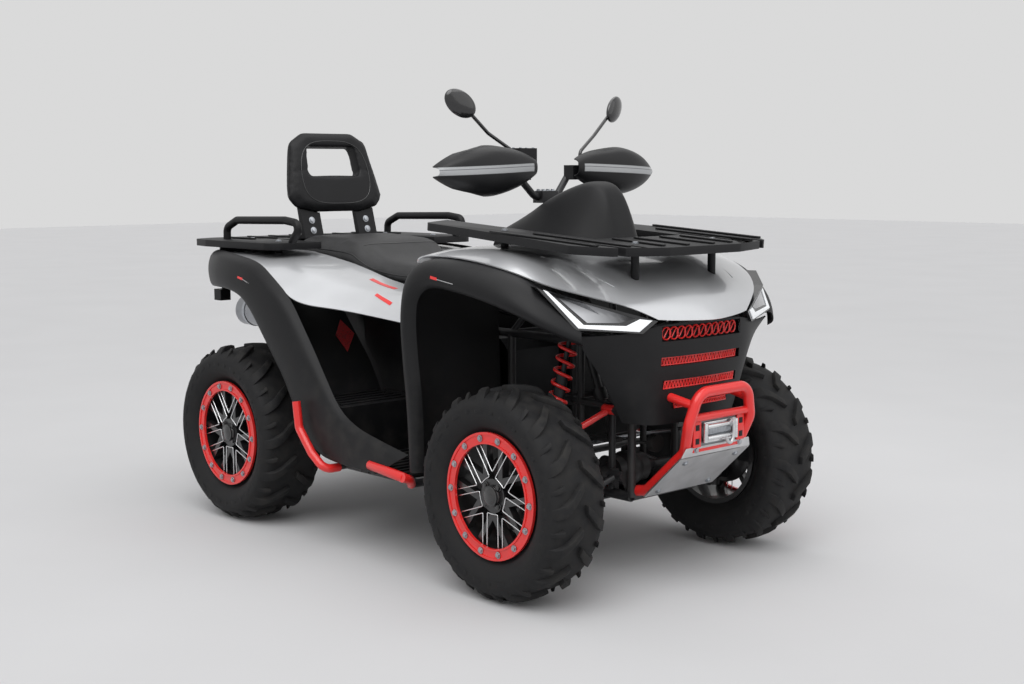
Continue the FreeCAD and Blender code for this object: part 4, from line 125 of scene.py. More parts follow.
class Finish:
    """One material, made node by node."""

    def __init__(self, name, colour, roughness, metallic=0.0, coat=0.0, specular=0.5):
        self.material = bpy.data.materials.new(name)
        self.material.use_nodes = True
        self.tree = self.material.node_tree
        self.shader = self.tree.nodes["Principled BSDF"]
        self.material.diffuse_color = (*colour, 1)
        self.put("Base Color", (*colour, 1))
        self.put("Roughness", roughness)
        self.put("Metallic", metallic)
        self.put("Coat Weight", coat)
        self.put("Specular IOR Level", specular)
        coordinates = self.tree.nodes.new("ShaderNodeTexCoord")
        self.place = Value(self, coordinates.outputs["Object"])
        split = self.tree.nodes.new("ShaderNodeSeparateXYZ")
        self.tree.links.new(self.place.socket, split.inputs[0])
        self.x, self.y, self.z = [Value(self, socket) for socket in split.outputs]

    def put(self, key, value):
        """Gives the main shader's socket a value or a link."""
        self.feed(self.shader.inputs[key], value)

    def feed(self, socket, value):
        if isinstance(value, Value):
            self.tree.links.new(value.socket, socket)
        else:
            socket.default_value = value

    def node(self, kind, settings=None, inputs=None, output=0):
        """Any node: its settings first, then the values or links of its sockets."""
        node = self.tree.nodes.new(kind)
        for key, value in (settings or {}).items():
            setattr(node, key, value)
        for key, value in (inputs or {}).items():
            self.feed(node.inputs[key], value)
        return Value(self, node.outputs[output])

    def math(self, operation, first, second=None):
        inputs = {0: first}
        if second is not None:
            inputs[1] = second
        return self.node("ShaderNodeMath", {"operation": operation}, inputs)

    def mix(self, factor, first, second):
        """A colour between two colours."""
        inputs = {0: factor, 6: rgba(first), 7: rgba(second)}
        return self.node("ShaderNodeMix", {"data_type": "RGBA"}, inputs, 2)

    def noise(self, scale, detail=3.0, stretch=None):
        """Soft noise, its scale in waves per metre; stretch squeezes it along the axes."""
        place = self.place
        if stretch:
            place = self.node("ShaderNodeMapping", {}, {0: self.place, "Scale": stretch})
        return self.node("ShaderNodeTexNoise", {}, {"Vector": place, "Scale": scale, "Detail": detail})

    def cells(self, scale, feature="F1"):
        """Distance to the nearest of many scattered points."""
        return self.node("ShaderNodeTexVoronoi", {"feature": feature}, {"Vector": self.place, "Scale": scale})

    def bump(self, height, strength, distance):
        """Feeds the shader's normal from a height in metres times distance."""
        inputs = {"Strength": strength, "Distance": distance, "Height": height}
        self.put("Normal", self.node("ShaderNodeBump", {}, inputs))


def rgba(colour):
    return colour if isinstance(colour, Value) else (*colour, 1)


def darker(colour, share):
    return tuple(c * share for c in colour)


# Finishes

NEAR_BLACK = (0.010, 0.010, 0.011)


def moulded_plastic(name, colour, roughness, grain):
    """Grained moulding: pebbled skin, slightly uneven gloss and a little dust low down."""
    f = Finish(name, colour, roughness, specular=0.24)
    mottle = f.noise(7.0, 5.0)
    pebble = f.cells(grain, "SMOOTH_F1")
    dust = (1 - f.z.over(0.25, 0.75)) * f.noise(18.0, 6.0).over(0.45, 0.75) * 0.22
    tone = f.mix(mottle.over(0.3, 0.7), darker(colour, 0.82), darker(colour, 1.15))
    f.put("Base Color", f.mix(dust, tone, (0.10, 0.092, 0.082)))
    f.put("Roughness", roughness - 0.07 + mottle * 0.10 + dust * 0.4)
    f.bump(pebble + f.noise(grain * 1.7, 2.0) * 0.4, 0.22, 0.0006)
    return f.material


def gloss_paint(name, colour, metallic=0.0, roughness=0.28, coat=0.6, flake=0.0):
    """Lacquered paint with orange peel, faint haze and, for metallic paint, flakes."""
    f = Finish(name, colour, roughness, metallic, coat)
    f.put("Coat Roughness", 0.08)
    haze = f.noise(5.0, 4.0).over(0.35, 0.75)
    tone = f.mix(haze, darker(colour, 0.95), darker(colour, 1.04))
    if flake:
        tone = f.mix(f.cells(1400.0).over(0.1, 0.6) * flake, tone, darker(colour, 0.72))
    grime = (1 - f.z.over(0.2, 0.6)) * f.noise(25.0, 6.0).over(0.5, 0.8) * 0.18
    f.put("Base Color", f.mix(grime, tone, (0.14, 0.12, 0.10)))
    f.put("Roughness", roughness + haze * 0.05 + grime * 0.5)
    f.bump(f.noise(420.0, 1.0), 0.05, 0.0004)
    return f.material


def bare_metal(name, colour, roughness, stretch=(1, 1, 1), scale=300.0, strength=0.12):
    """Metal with a brushed or cast skin."""
    f = Finish(name, colour, roughness, metallic=1.0)
    lines = f.noise(scale, 4.0, stretch)
    blotch = f.noise(11.0, 5.0)
    f.put("Base Color", f.mix(blotch.over(0.3, 0.75), darker(colour, 0.8), darker(colour, 1.1)))
    f.put("Roughness", roughness - 0.05 + lines * 0.12 + blotch * 0.06)
    f.bump(lines, strength, 0.0008)
    return f.material


def powder_coat(name):
    """The satin black coat of the chassis and bars."""
    colour = (0.016, 0.016, 0.018)
    f = Finish(name, colour, 0.45)
    speck = f.noise(700.0, 2.0)
    grime = (1 - f.z.over(0.2, 0.9)) * f.noise(16.0, 6.0).over(0.42, 0.78) * 0.3
    f.put("Base Color", f.mix(grime, colour, (0.10, 0.088, 0.075)))
    f.put("Roughness", 0.40 + speck * 0.1 + grime)
    f.bump(speck, 0.12, 0.0004)
    return f.material


def tyre_rubber(name, axle_x):
    """Tyre rubber round one axle: fine rings on the sidewalls and dust on the lugs' faces."""
    colour = (0.012, 0.012, 0.013)
    f = Finish(name, colour, 0.72, specular=0.25)
    across = f.x - axle_x
    up = f.z - AXLE_HEIGHT
    radius = f.math("SQRT", across * across + up * up)
    rings = f.math("SINE", radius * 1450.0) * radius.between(0.215, 0.262, 0.004)
    dust = f.noise(24.0, 6.0).over(0.4, 0.75)
    skin = f.noise(380.0, 4.0)
    tone = f.mix(dust * 0.5, colour, (0.028, 0.027, 0.026))
    f.put("Base Color", f.mix(radius.over(0.300, 0.332) * dust * 0.5, tone, (0.050, 0.047, 0.043)))
    f.put("Roughness", 0.62 + dust * 0.16 + skin * 0.06)
    f.bump(skin * 0.5 + rings * 0.35, 0.3, 0.0009)
    return f.material


def guard_shell(name):
    """Black hand guard moulding with the pale band that runs round its middle."""
    f = Finish(name, NEAR_BLACK, 0.38, specular=0.3)
    out = abs(f.y)
    middle = 1.318 - (out - 0.14).over(0.0, 0.36) * 0.014
    band = (f.z - middle).between(-0.013, 0.013, 0.0012) * out.over(0.118, 0.121)
    line = (f.z - middle - 0.004).between(-0.0012, 0.0012, 0.0005)
    pale = f.mix(line, (0.42, 0.43, 0.44), (0.16, 0.16, 0.17))
    f.put("Base Color", f.mix(band, NEAR_BLACK, pale))
    f.put("Roughness", 0.36 + f.noise(9.0, 4.0) * 0.08)
    f.bump(f.cells(900.0, "SMOOTH_F1"), 0.12, 0.0005)
    return f.material


def seat_cover(name):
    """Black vinyl cover: leather grain, a broad soft sheen and faint creases, painted darker in their hollows
    as painted shade.
    """
    colour = (0.020, 0.020, 0.021)
    f = Finish(name, colour, 0.52, specular=0.45)
    grain = f.cells(520.0, "DISTANCE_TO_EDGE")
    crease = f.noise(14.0, 6.0, (1.0, 2.4, 1.0))
    # painted shade: the colour follows the creases' relief, darker in their hollows and lighter on their ridges
    f.put("Base Color", f.mix(crease.over(0.35, 0.7), darker(colour, 0.8), darker(colour, 1.5)))
    f.put("Roughness", 0.46 + crease * 0.12)
    f.bump(grain.over(0.0, 0.35) + crease * 0.6, 0.35, 0.0008)
    return f.material


def lamp_reflector(name):
    """The headlamp's dark bowl, with a painted reflection that makes it bright only at its low outer end."""
    f = Finish(name, (0.05, 0.051, 0.054), 0.16, metallic=0.6, coat=1.0)
    # painted reflection: the bowl's colour turns bright towards its low outer end
    painted_reflection = abs(f.y).over(0.30, 0.47) * (1 - f.z.over(0.885, 0.935))
    ribs = f.math("SINE", f.x * 620.0 + f.z * 300.0)
    f.put("Base Color", f.mix(painted_reflection, (0.014, 0.014, 0.016), (0.62, 0.63, 0.66)))
    f.put("Roughness", 0.14 + painted_reflection * 0.15)
    f.bump(ribs, 0.12, 0.0008)
    return f.material


def light_strip(name):
    """The white light strip, faintly lit, with its row of small cells."""
    f = Finish(name, (0.86, 0.87, 0.88), 0.25, coat=0.8)
    cell = f.math("SINE", (f.x + f.y) * 900.0).over(-0.2, 0.9)
    f.put("Base Color", f.mix(cell * 0.2, (0.90, 0.91, 0.92), (0.70, 0.72, 0.75)))
    f.put("Emission Color", (0.9, 0.95, 1.0, 1))
    f.put("Emission Strength", 0.25)
    f.bump(cell, 0.1, 0.0006)
    return f.material


def mirror_glass(name):
    """Mirror glass, very slightly uneven."""
    f = Finish(name, (0.75, 0.77, 0.80), 0.04, metallic=1.0)
    f.put("Roughness", 0.03 + f.noise(30.0, 4.0).over(0.5, 0.9) * 0.06)
    return f.material


def tail_lens(name):
    """Red lens with moulded ribs, painted lighter on their crests as a painted highlight and darker between
    them as painted shade.
    """
    f = Finish(name, (0.35, 0.012, 0.012), 0.14, coat=1.0)
    ribs = f.math("SINE", f.y * 900.0) + f.math("SINE", f.z * 900.0)
    # painted highlight and shade: the colour follows the ribs' relief, lighter on the crests and darker between
    # them
    f.put("Base Color", f.mix(ribs.over(-1.0, 1.5), (0.25, 0.006, 0.006), (0.60, 0.03, 0.025)))
    f.bump(ribs, 0.3, 0.0008)
    return f.material


def grip_rubber(name):
    """Ribbed grip rubber, its grooves painted darker as painted shade."""
    f = Finish(name, (0.018, 0.018, 0.018), 0.7)
    ribs = f.math("SINE", f.y * 1300.0)
    # painted shade: the colour follows the ribs' relief, darker in the grooves
    f.put("Base Color", f.mix(ribs.over(-1.0, 1.0), (0.010, 0.010, 0.010), (0.030, 0.030, 0.031)))
    f.bump(ribs + f.noise(500.0) * 0.5, 0.5, 0.0012)
    return f.material


def vent_red(name):
    """The dark red vent seen in the foot wells, its holes painted dark as painted shade."""
    f = Finish(name, (0.16, 0.012, 0.014), 0.5)
    holes = f.cells(160.0)
    # painted shade: the colour is dark in the holes and bright red on the webs between them
    f.put("Base Color", f.mix(holes.over(0.2, 0.35), (0.10, 0.008, 0.010), (0.55, 0.03, 0.035)))
    f.bump(holes.over(0.25, 0.45), 0.8, 0.002)
    return f.material


RED = (0.80, 0.022, 0.020)
CAST_SKIN = dict(scale=420.0, strength=0.35)
finish_cache = {}
FINISHES = {
    "red_paint": (gloss_paint, dict(colour=RED, roughness=0.34, coat=0.5)),
    "silver_body": (gloss_paint, dict(
        colour=(0.66, 0.67, 0.69), metallic=0.55, roughness=0.34, coat=0.9, flake=0.12)),
    "dark_moulding": (moulded_plastic, dict(colour=NEAR_BLACK, roughness=0.50, grain=520.0)),
    "black_moulding": (moulded_plastic, dict(colour=(0.009, 0.009, 0.010), roughness=0.50, grain=640.0)),
    "gloss_black": (gloss_paint, dict(colour=NEAR_BLACK, roughness=0.2)),
    "rim_black": (gloss_paint, dict(colour=(0.012, 0.012, 0.013), roughness=0.3, coat=0.5)),
    "machined": (bare_metal, dict(colour=(0.78, 0.79, 0.80), roughness=0.22, scale=900.0, strength=0.05)),
    "dark_casting": (bare_metal, dict(colour=(0.045, 0.046, 0.049), roughness=0.5, **CAST_SKIN)),
    "cast_alloy": (bare_metal, dict(colour=(0.30, 0.31, 0.32), roughness=0.48, **CAST_SKIN)),
    "brushed_silver": (bare_metal, dict(
        colour=(0.62, 0.62, 0.63), roughness=0.38, stretch=(1, 0.06, 1), scale=500.0, strength=0.08)),
    "damper_steel": (bare_metal, dict(
        colour=(0.34, 0.35, 0.37), roughness=0.3, stretch=(1, 1, 0.1), scale=500.0, strength=0.08)),
    "bolt_steel": (bare_metal, dict(colour=(0.45, 0.47, 0.50), roughness=0.32, scale=800.0, strength=0.1)),
    "powder_coat": (powder_coat, {}),
    "tyre_front": (tyre_rubber, dict(axle_x=0.750)),
    "tyre_rear": (tyre_rubber, dict(axle_x=-0.730)),
    "guard_shell": (guard_shell, {}),
    "seat_cover": (seat_cover, {}),
    "lamp_reflector": (lamp_reflector, {}),
    "light_strip": (light_strip, {}),
    "mirror_glass": (mirror_glass, {}),
    "tail_lens": (tail_lens, {}),
    "grip_rubber": (grip_rubber, {}),
    "vent_red": (vent_red, {}),
}


def finish(name):
    """The named material, made the first time it is asked for."""
    if name not in finish_cache:
        maker, settings = FINISHES[name]
        finish_cache[name] = maker(name, **settings)
    return finish_cache[name]


# Modelling tools

def deselect():
    if bpy.context.object and bpy.context.object.mode != "OBJECT":
        bpy.ops.object.mode_set(mode="OBJECT")
    bpy.ops.object.select_all(action="DESELECT")


def pick(*objects):
    """Selects just these objects, the first one active."""
    deselect()
    for thing in objects:
        thing.select_set(True)
    bpy.context.view_layer.objects.active = objects[0]


def edit(thing, *steps):
    """Runs mesh operators, each given with its settings, on the whole of a mesh."""
    pick(thing)
    bpy.ops.object.mode_set(mode="EDIT")
    bpy.ops.mesh.select_all(action="SELECT")
    for operator, settings in steps:
        operator(**settings)
    bpy.ops.object.mode_set(mode="OBJECT")
    return thing


def settle(thing):
    """Moves an object's place, turn and size into its mesh."""
    pick(thing)
    bpy.ops.object.transform_apply(location=True, rotation=True, scale=True)
    return thing


def modify(thing, kind, **settings):
    """Adds a modifier and applies it."""
    modifier = thing.modifiers.new(kind.title(), kind)
    for key, value in settings.items():
        setattr(modifier, key, value)
    pick(thing)
    bpy.ops.object.modifier_apply(modifier=modifier.name)
    return thing


def soften(thing, width, segments=2, angle=32):
    """Rounds the edges that are sharper than an angle."""
    if width:
        limit = math.radians(angle)
        modify(thing, "BEVEL", width=width, segments=segments, limit_method="ANGLE", angle_limit=limit)
    return thing


def outward(thing):
    """Merges doubles and turns every face outwards."""
    mesh = bpy.ops.mesh
    return edit(
        thing, (mesh.remove_doubles, dict(threshold=MERGE_DISTANCE)),
        (mesh.normals_make_consistent, dict(inside=False)))


def solid_sheet(sheet, thickness, direction=None):
    """Thickens a sheet on the side that a direction points to, or on both sides."""
    if direction is None:
        return modify(sheet, "SOLIDIFY", thickness=thickness, offset=0.0)
    if sheet.data.polygons[0].normal.dot(Vector(direction)) < 0:
        sheet.data.flip_normals()
    return modify(sheet, "SOLIDIFY", thickness=thickness, offset=1.0)


def block(low, high, round_edge=0.0):
    """A block between two corners, its edges rounded."""
    low, high = Vector(low), Vector(high)
    deselect()
    bpy.ops.mesh.primitive_cube_add(size=1, location=(low + high) / 2)
    cube = bpy.context.object
    cube.scale = high - low
    return soften(settle(cube), round_edge)


def side_blocks(low, high, round_edge):
    """A block on the left side, and the same on the right."""
    pieces = []
    for side in (1, -1):
        right, left = sorted((side * low[1], side * high[1]))
        pieces.append(block((low[0], right, low[2]), (high[0], left, high[2]), round_edge))
    return pieces


def bar(start, end, radius, sides=24, round_edge=0.0):
    """A round bar between two points."""
    start, end = Vector(start), Vector(end)
    deselect()
    bpy.ops.mesh.primitive_cylinder_add(
        vertices=sides, radius=radius, depth=(end - start).length, location=(start + end) / 2)
    rod = bpy.context.object
    rod.rotation_euler = (end - start).to_track_quat("Z", "Y").to_euler()
    return soften(settle(rod), round_edge, 2, 50)


def outline(points, fill):
    """A closed outline through points, as a face or left open."""
    deselect()
    bpy.ops.mesh.primitive_circle_add(vertices=len(points), radius=1, fill_type=fill)
    shape = bpy.context.object
    for vertex, point in zip(shape.data.vertices, points):
        vertex.co = point
    return shape


def plate(corners, thickness, round_edge=0.0):
    """A plate whose outline runs through the corners, pushed along a thickness vector."""
    sheet = outline(corners, "NGON")
    move = dict(TRANSFORM_OT_translate={"value": tuple(thickness)})
    edit(sheet, (bpy.ops.mesh.extrude_region_move, move))
    return soften(outward(sheet), round_edge)


def spun(profile, steps):
    """A closed profile turned right round the Y axis."""
    shape = outline(profile, "NOTHING")
    turn = dict(steps=steps, angle=2 * math.pi, center=(0, 0, 0), axis=(0, 1, 0))
    return outward(edit(shape, (bpy.ops.mesh.spin, turn)))


def wire(points, radius, sides=2, closed=False, smooth=False):
    """A round strip along points."""
    curve = bpy.data.curves.new("wire", "CURVE")
    curve.dimensions = "3D"
    curve.bevel_depth = radius
    curve.bevel_resolution = sides
    curve.use_fill_caps = True
    spline = curve.splines.new("NURBS" if smooth else "POLY")
    spline.points.add(len(points) - 1)
    for knot, point in zip(spline.points, points):
        knot.co = (*point, 1)
    spline.use_cyclic_u = closed
    if smooth:
        spline.order_u = 3
        spline.use_endpoint_u = not closed
        curve.resolution_u = 6
    strip = bpy.data.objects.new("wire", curve)
    bpy.context.scene.collection.objects.link(strip)
    pick(strip)
    bpy.ops.object.convert(target="MESH")
    return outward(bpy.context.object)


def faces_mesh(points, faces):
    """A mesh from points and faces, merged and turned outwards."""
    mesh = bpy.data.meshes.new("shape")
    mesh.from_pydata([tuple(p) for p in points], [], faces)
    shape = bpy.data.objects.new("shape", mesh)
    bpy.context.scene.collection.objects.link(shape)
    return outward(shape)


def skin(points, ring):
    """A closed skin over cross sections of so many points each."""
    rings = len(points) // ring
    faces = []
    for i in range(rings - 1):
        for k in range(ring):
            a, b = ring * i + k, ring * i + (k + 1) % ring
            faces.append((a, b, b + ring, a + ring))
    faces.append(tuple(range(ring)))
    faces.append(tuple(range(ring * (rings - 1), ring * rings)))
    return faces_mesh(points, faces)


def clone(thing, matrix=Matrix.Identity(4)):
    """A copy with its own mesh, moved by a matrix."""
    twin = thing.copy()
    twin.data = thing.data.copy()
    bpy.context.scene.collection.objects.link(twin)
    twin.data.transform(matrix)
    if matrix.determinant() < 0:
        twin.data.flip_normals()
    return twin


def own_copy(node):
    """A merged copy of a CAD node that can be shaped."""
    thing = outward(clone(nodes[node]))
    thing.parent = None
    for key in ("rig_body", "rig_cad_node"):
        if key in thing:
            del thing[key]
    return thing


def cut_away(thing, place, normal):
    """Cuts off what lies on the normal's side of a plane and closes the cut."""
    cut = dict(plane_co=place, plane_no=normal, clear_outer=True, use_fill=True)
    return edit(thing, (bpy.ops.mesh.bisect, cut))


def other_side(thing):
    """The copy on the other side of the bike."""
    return clone(thing, Matrix.Scale(-1, 4, Y_AXIS))


def mirrored(points, side):
    """Points given on the left side, for side 1, or taken over to the right, for side -1."""
    return [(x, side * y, z) for x, y, z in points]


def joined(things):
    if len(things) > 1:
        pick(*things)
        bpy.ops.object.join()
    return things[0]


def hand_over(things, name, look, angle=32, body="chassis"):
    """Makes one finished piece of one object or a list: its name, smoothing, finish and body."""
    thing = joined(things) if isinstance(things, list) else things
    if name in bpy.data.objects and bpy.data.objects[name] is not thing:
        raise RuntimeError("the name %s is taken" % name)
    thing.name = name
    thing.data.name = name
    settle(thing)
    dress(thing, look, angle)
    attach(thing, body)
    return thing


def dress(thing, look, angle=30):
    """Gives an object its finish and smooth shading."""
    thing.data.materials.clear()
    thing.data.materials.append(finish(look))
    pick(thing)
    bpy.ops.object.shade_smooth_by_angle(angle=math.radians(angle))


def surface(thing):
    """What rays and distances are measured against."""
    return BVHTree.FromObject(thing, bpy.context.evaluated_depsgraph_get())


def lift(points, node, distance=0.0, direction=None):
    """Drops points onto a CAD node, to the nearest place or along a direction, and raises them off it."""
    tree = surface(nodes[node])
    found = []
    for point in points:
        point = Vector(point)
        place = None
        if direction is not None:
            place, normal, index, gap = tree.ray_cast(point, Vector(direction))
        if place is None:
            place, normal, index, gap = tree.find_nearest(point)
        elif normal.dot(Vector(direction)) > 0:
            normal = -normal
        found.append(place + normal * distance)
    return found


def lift_off(thing, rays, distance):
    """Where rays from outside meet a piece, raised off it a little."""
    tree = surface(thing)
    points = []
    for start, direction in rays:
        place, normal, index, gap = tree.ray_cast(Vector(start), Vector(direction).normalized())
        if place is not None:
            points.append(place + normal * distance)
    return points


def hex_bolt(centre, direction, size, height):
    """A flanged hex bolt head on a surface, pointing along a direction."""
    direction = Vector(direction).normalized()
    centre = Vector(centre)
    washer = bar(centre, centre + direction * height * 0.35, size * 0.78, 16, height * 0.1)
    head = bar(centre + direction * height * 0.3, centre + direction * height, size * 0.58, 6, height * 0.12)
    return [washer, head]


def top_bolts(node, places, size, height, above=ABOVE_RACKS):
    """Bolts on top of a CAD node, found by dropping from a height."""
    bolts = []
    for top in lift([(x, y, above) for x, y in places], node, 0.0, DOWN):
        bolts += hex_bolt(top, Z_AXIS, size, height)
    return bolts


# Sizes that a user may change

def length_property(name, description, default, least=0.0):
    """A length, shown in the scene's units."""
    return bpy.props.FloatProperty(
        name=name, description=description, default=default, min=least, subtype="DISTANCE", unit="LENGTH")


def colour_property(name, description, default):
    return bpy.props.FloatVectorProperty(
        name=name, description=description, default=default, size=3, min=0, max=1, subtype="COLOR")


class QuadSizes(bpy.types.PropertyGroup):
    """Sizes of the modelled pieces."""
    tread_count: bpy.props.IntProperty(
        name="Tread lugs", description="Lugs in each row of a tyre", default=15, min=8, max=30)
    lug_round: length_property("Lug rounding", "Rounding of a tread lug's edges", 0.0022)
    edge_line: length_property("Machined edge", "Radius of the bright edge of a spoke", 0.0021, 0.0005)
    bolt_size: length_property("Bolt size", "Width across a bead ring bolt", 0.0135, 0.005)
    cushion_voxel: length_property(
        "Cushion detail", "Size of a cushion's faces before they are smoothed", 0.009, 0.004)
    cushion_swell: length_property("Cushion swell", "How far a cushion may swell when it is stuffed", 0.014)


class QuadColours(bpy.types.PropertyGroup):
    """Colours of the floor and backdrop, and the strength of the lamps."""
    floor: colour_property("Floor", "Colour of the studio floor", (0.66, 0.66, 0.67))
    backdrop: colour_property("Backdrop", "Colour of what is seen behind the floor", (1.0, 1.0, 1.0))
    light: bpy.props.FloatProperty(name="Light", description="Strength of the main lamp", default=1.5, min=0.0)


# Wheels

# A tyre's outline as shares of its half width and heights over the axle, from the bead outwards.
SIDEWALL = [
    (0.606, 0.1840), (0.616, 0.1925), (0.640, 0.1985), (0.672, 0.2020), (0.690, 0.2045), (0.760, 0.2110),
    (0.850, 0.2230), (0.930, 0.2400), (0.975, 0.2580), (0.965, 0.2640), (0.985, 0.2720), (0.955, 0.2860),
    (0.880, 0.2980), (0.760, 0.3060), (0.560, 0.3110), (0.300, 0.3130), (0.000, 0.3135),
]
BEAD_RADIUS, BEAD_SHARE = 0.1785, 0.58
# A lug's stations: distance in from the tyre's edge, height of its top and of its foot,
# its lead in degrees and its width in degrees.
LUG_STATIONS = [
    (0.108, 0.3290, 0.300, 0.0, 5.4), (0.086, 0.3300, 0.300, 3.6, 6.6), (0.060, 0.3285, 0.298, 8.2, 7.2),
    (0.038, 0.3240, 0.292, 10.8, 7.8), (0.022, 0.3120, 0.282, 12.2, 8.2), (0.009, 0.2930, 0.268, 13.0, 8.2),
    (0.002, 0.2740, 0.256, 13.4, 7.6),
]
LUG_HALF = 0.114  # the half width of the tyre that the stations are given for
SMALL_LUG = dict(width_scale=0.42, start=3)


def wheel_place(wheel):
    """The middle of a wheel, the side it is on (1 left, -1 right), and the move there, face outwards."""
    low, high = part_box("rim_" + wheel)
    tyre_low, tyre_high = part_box("tyre_" + wheel)
    side = 1 if "left" in wheel else -1
    centre = Vector(((low.x + high.x) / 2, (tyre_low.y + tyre_high.y) / 2, (low.z + high.z) / 2))
    return centre, side, Matrix.Translation(centre) @ Matrix.Rotation(0 if side > 0 else math.pi, 4, "Z")


def polar(radius, angle, y=0.0):
    return Vector((radius * math.cos(angle), y, radius * math.sin(angle)))


def tread_lug(half, side, width_scale=1.0, start=0):
    """One tread lug along its stations."""
    points = []
    for from_edge, top, foot, lead, spread in LUG_STATIONS[start:]:
        across = side * max(half - from_edge * (half / LUG_HALF), 0.0)
        for radius, end in ((foot, -1.12), (top, -0.78), (top, 0.78), (foot, 1.12)):
            points.append(polar(radius, math.radians(lead + end * spread * width_scale / 2), across))
    return skin(points, 4)


def tyre_model(half, count, round_edge):
    """A whole tyre about the Y axis: its carcass spun from an outline, with two staggered rows of lugs."""
    rim_side = [(radius, share * half, 0) for share, radius in SIDEWALL]
    far_side = [(radius, -y, 0) for radius, y, z in reversed(rim_side[:-1])]
    bead = [(BEAD_RADIUS, -BEAD_SHARE * half, 0), (BEAD_RADIUS, BEAD_SHARE * half, 0)]
    pieces = [spun(rim_side + far_side + bead, 120)]
    pitch = 2 * math.pi / count
    for side, shift in ((1, 0.0), (-1, 0.5)):
        lug = soften(tread_lug(half, side), round_edge, 2, 25)
        small = soften(tread_lug(half, side, **SMALL_LUG), round_edge * 0.7, 2, 25)
        for i in range(count):
            pieces.append(clone(lug, Matrix.Rotation(-pitch * (i + shift), 4, "Y")))
            pieces.append(clone(small, Matrix.Rotation(-pitch * (i + shift + 0.5), 4, "Y")))
        for spare in (lug, small):
            bpy.data.objects.remove(spare)
    return joined(pieces)


class QUAD_OT_tyres(bpy.types.Operator):
    """Models the four lugged tyres"""
    bl_idname = "quad.tyres"
    bl_label = "Tyres"

    def execute(self, context):
        sizes = context.scene.quad_sizes
        for axle in ("front", "rear"):
            low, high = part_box("tyre_%s_left" % axle)
            tyre = tyre_model((high.y - low.y) / 2, sizes.tread_count, sizes.lug_round)
            for wheel in (axle + "_left", axle + "_right"):
                piece = clone(tyre, wheel_place(wheel)[2])
                hand_over(piece, "tread_" + wheel, "tyre_" + axle, 38, wheel + "_wheel")
                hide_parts("tyre_" + wheel)
            bpy.data.objects.remove(tyre)
        return {"FINISHED"}


SPOKES = 5
# The edges of a spoke's slot and of the gap to the next spoke: along the spoke and aside of its middle.
SLOT_EDGE = ((0.155, 0.0565), (0.082, 0.0062), (0.0745, 0.0), (0.082, -0.0062), (0.155, -0.0565))
GAP_EDGE = ((0.146, 0.0745), (0.066, 0.0185), (0.057, 0.0135))
HUB_RADIUS = 0.057
HUB_TURNS = (26, 46)  # degrees from a spoke's middle, where the gap's edge bends round the hub
RIM_SETBACK = 0.0165  # of the wheel's face behind the bead ring's
NUTS = dict(count=4, radius=0.041, start=math.pi / 4, size=0.015, height=0.009)
RING_BOLTS = dict(count=14, radius=0.178, start=0.0, height=0.007)
CAP_PROFILE = ((0.0005, 0.016), (0.024, 0.0155), (0.031, 0.011), (0.034, 0.002), (0.0005, 0.002))


def spoke_lines(face, radius):
    """The bright machined edges of the split spokes, on the wheel's face."""
    pitch = 2 * math.pi / SPOKES

    def point(spoke, along, aside):
        middle = math.pi / 2 + pitch * spoke
        return polar(along, middle, face) + polar(aside, middle + math.pi / 2)

    lines = []
    for i in range(SPOKES):
        slot = [point(i, *place) for place in SLOT_EDGE]
        gap = [point(i, *place) for place in GAP_EDGE]
        gap += [polar(HUB_RADIUS, math.pi / 2 + pitch * i + math.radians(turn), face) for turn in HUB_TURNS]
        gap += [point(i + 1, along, -aside) for along, aside in reversed(GAP_EDGE)]
        lines += [wire(slot, radius, smooth=True), wire(gap, radius, smooth=True)]
    return joined(lines)


def bolt_circle(count, radius, start, face, size, height):
    """Bolts set evenly round the axle."""
    bolts = []
    for i in range(count):
        bolts += hex_bolt(polar(radius, start + 2 * math.pi * i / count, face), Y_AXIS, size, height)
    return joined(bolts)


class QUAD_OT_wheel_trim(bpy.types.Operator):
    """Adds the machined spoke edges, wheel nuts, centre caps and bead ring bolts"""
    bl_idname = "quad.wheel_trim"
    bl_label = "Wheel trim"

    def execute(self, context):
        sizes = context.scene.quad_sizes
        for wheel in WHEELS:
            centre, side, move = wheel_place(wheel)
            low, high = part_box("bead_ring_" + wheel)
            ring_face = (high.y if side > 0 else -low.y) - abs(centre.y)
            face = ring_face - RIM_SETBACK
            edges = spoke_lines(face + 0.0004, sizes.edge_line)
            nuts = bolt_circle(face=face, **NUTS)
            bolts = bolt_circle(face=ring_face - 0.003, size=sizes.bolt_size, **RING_BOLTS)
            cap = spun([(radius, face + out, 0) for radius, out in CAP_PROFILE], 48)
            for piece, name, slot, look, angle in (
                    (edges, "spoke_edges", "silver_metal", "machined", 60),
                    (nuts, "wheel_nuts", "rim_black", "gloss_black", 30),
                    (bolts, "wheel_bolts", "damper_steel", "bolt_steel", 30),
                    (cap, "centre_cap", "rim_black", "gloss_black", 40)):
                piece.data.transform(move)
                hand_over(piece, "%s_%s" % (name, wheel), look, angle, wheel + "_wheel")
        return {"FINISHED"}


# Soft pieces

# The seat's cross sections from front to rear: place, half width, underside and top.
SEAT_SECTIONS = [
    (0.070, 0.072, 0.912, 1.000), (0.010, 0.114, 0.897, 0.989), (-0.094, 0.144, 0.888, 0.961),
    (-0.227, 0.176, 0.894, 0.958), (-0.340, 0.200, 0.912, 0.975), (-0.410, 0.214, 0.932, 1.005),
    (-0.464, 0.220, 0.949, 1.031), (-0.560, 0.226, 0.962, 1.040), (-0.641, 0.227, 0.969, 1.043),
    (-0.740, 0.224, 0.973, 1.046), (-0.826, 0.214, 0.975, 1.042),
]
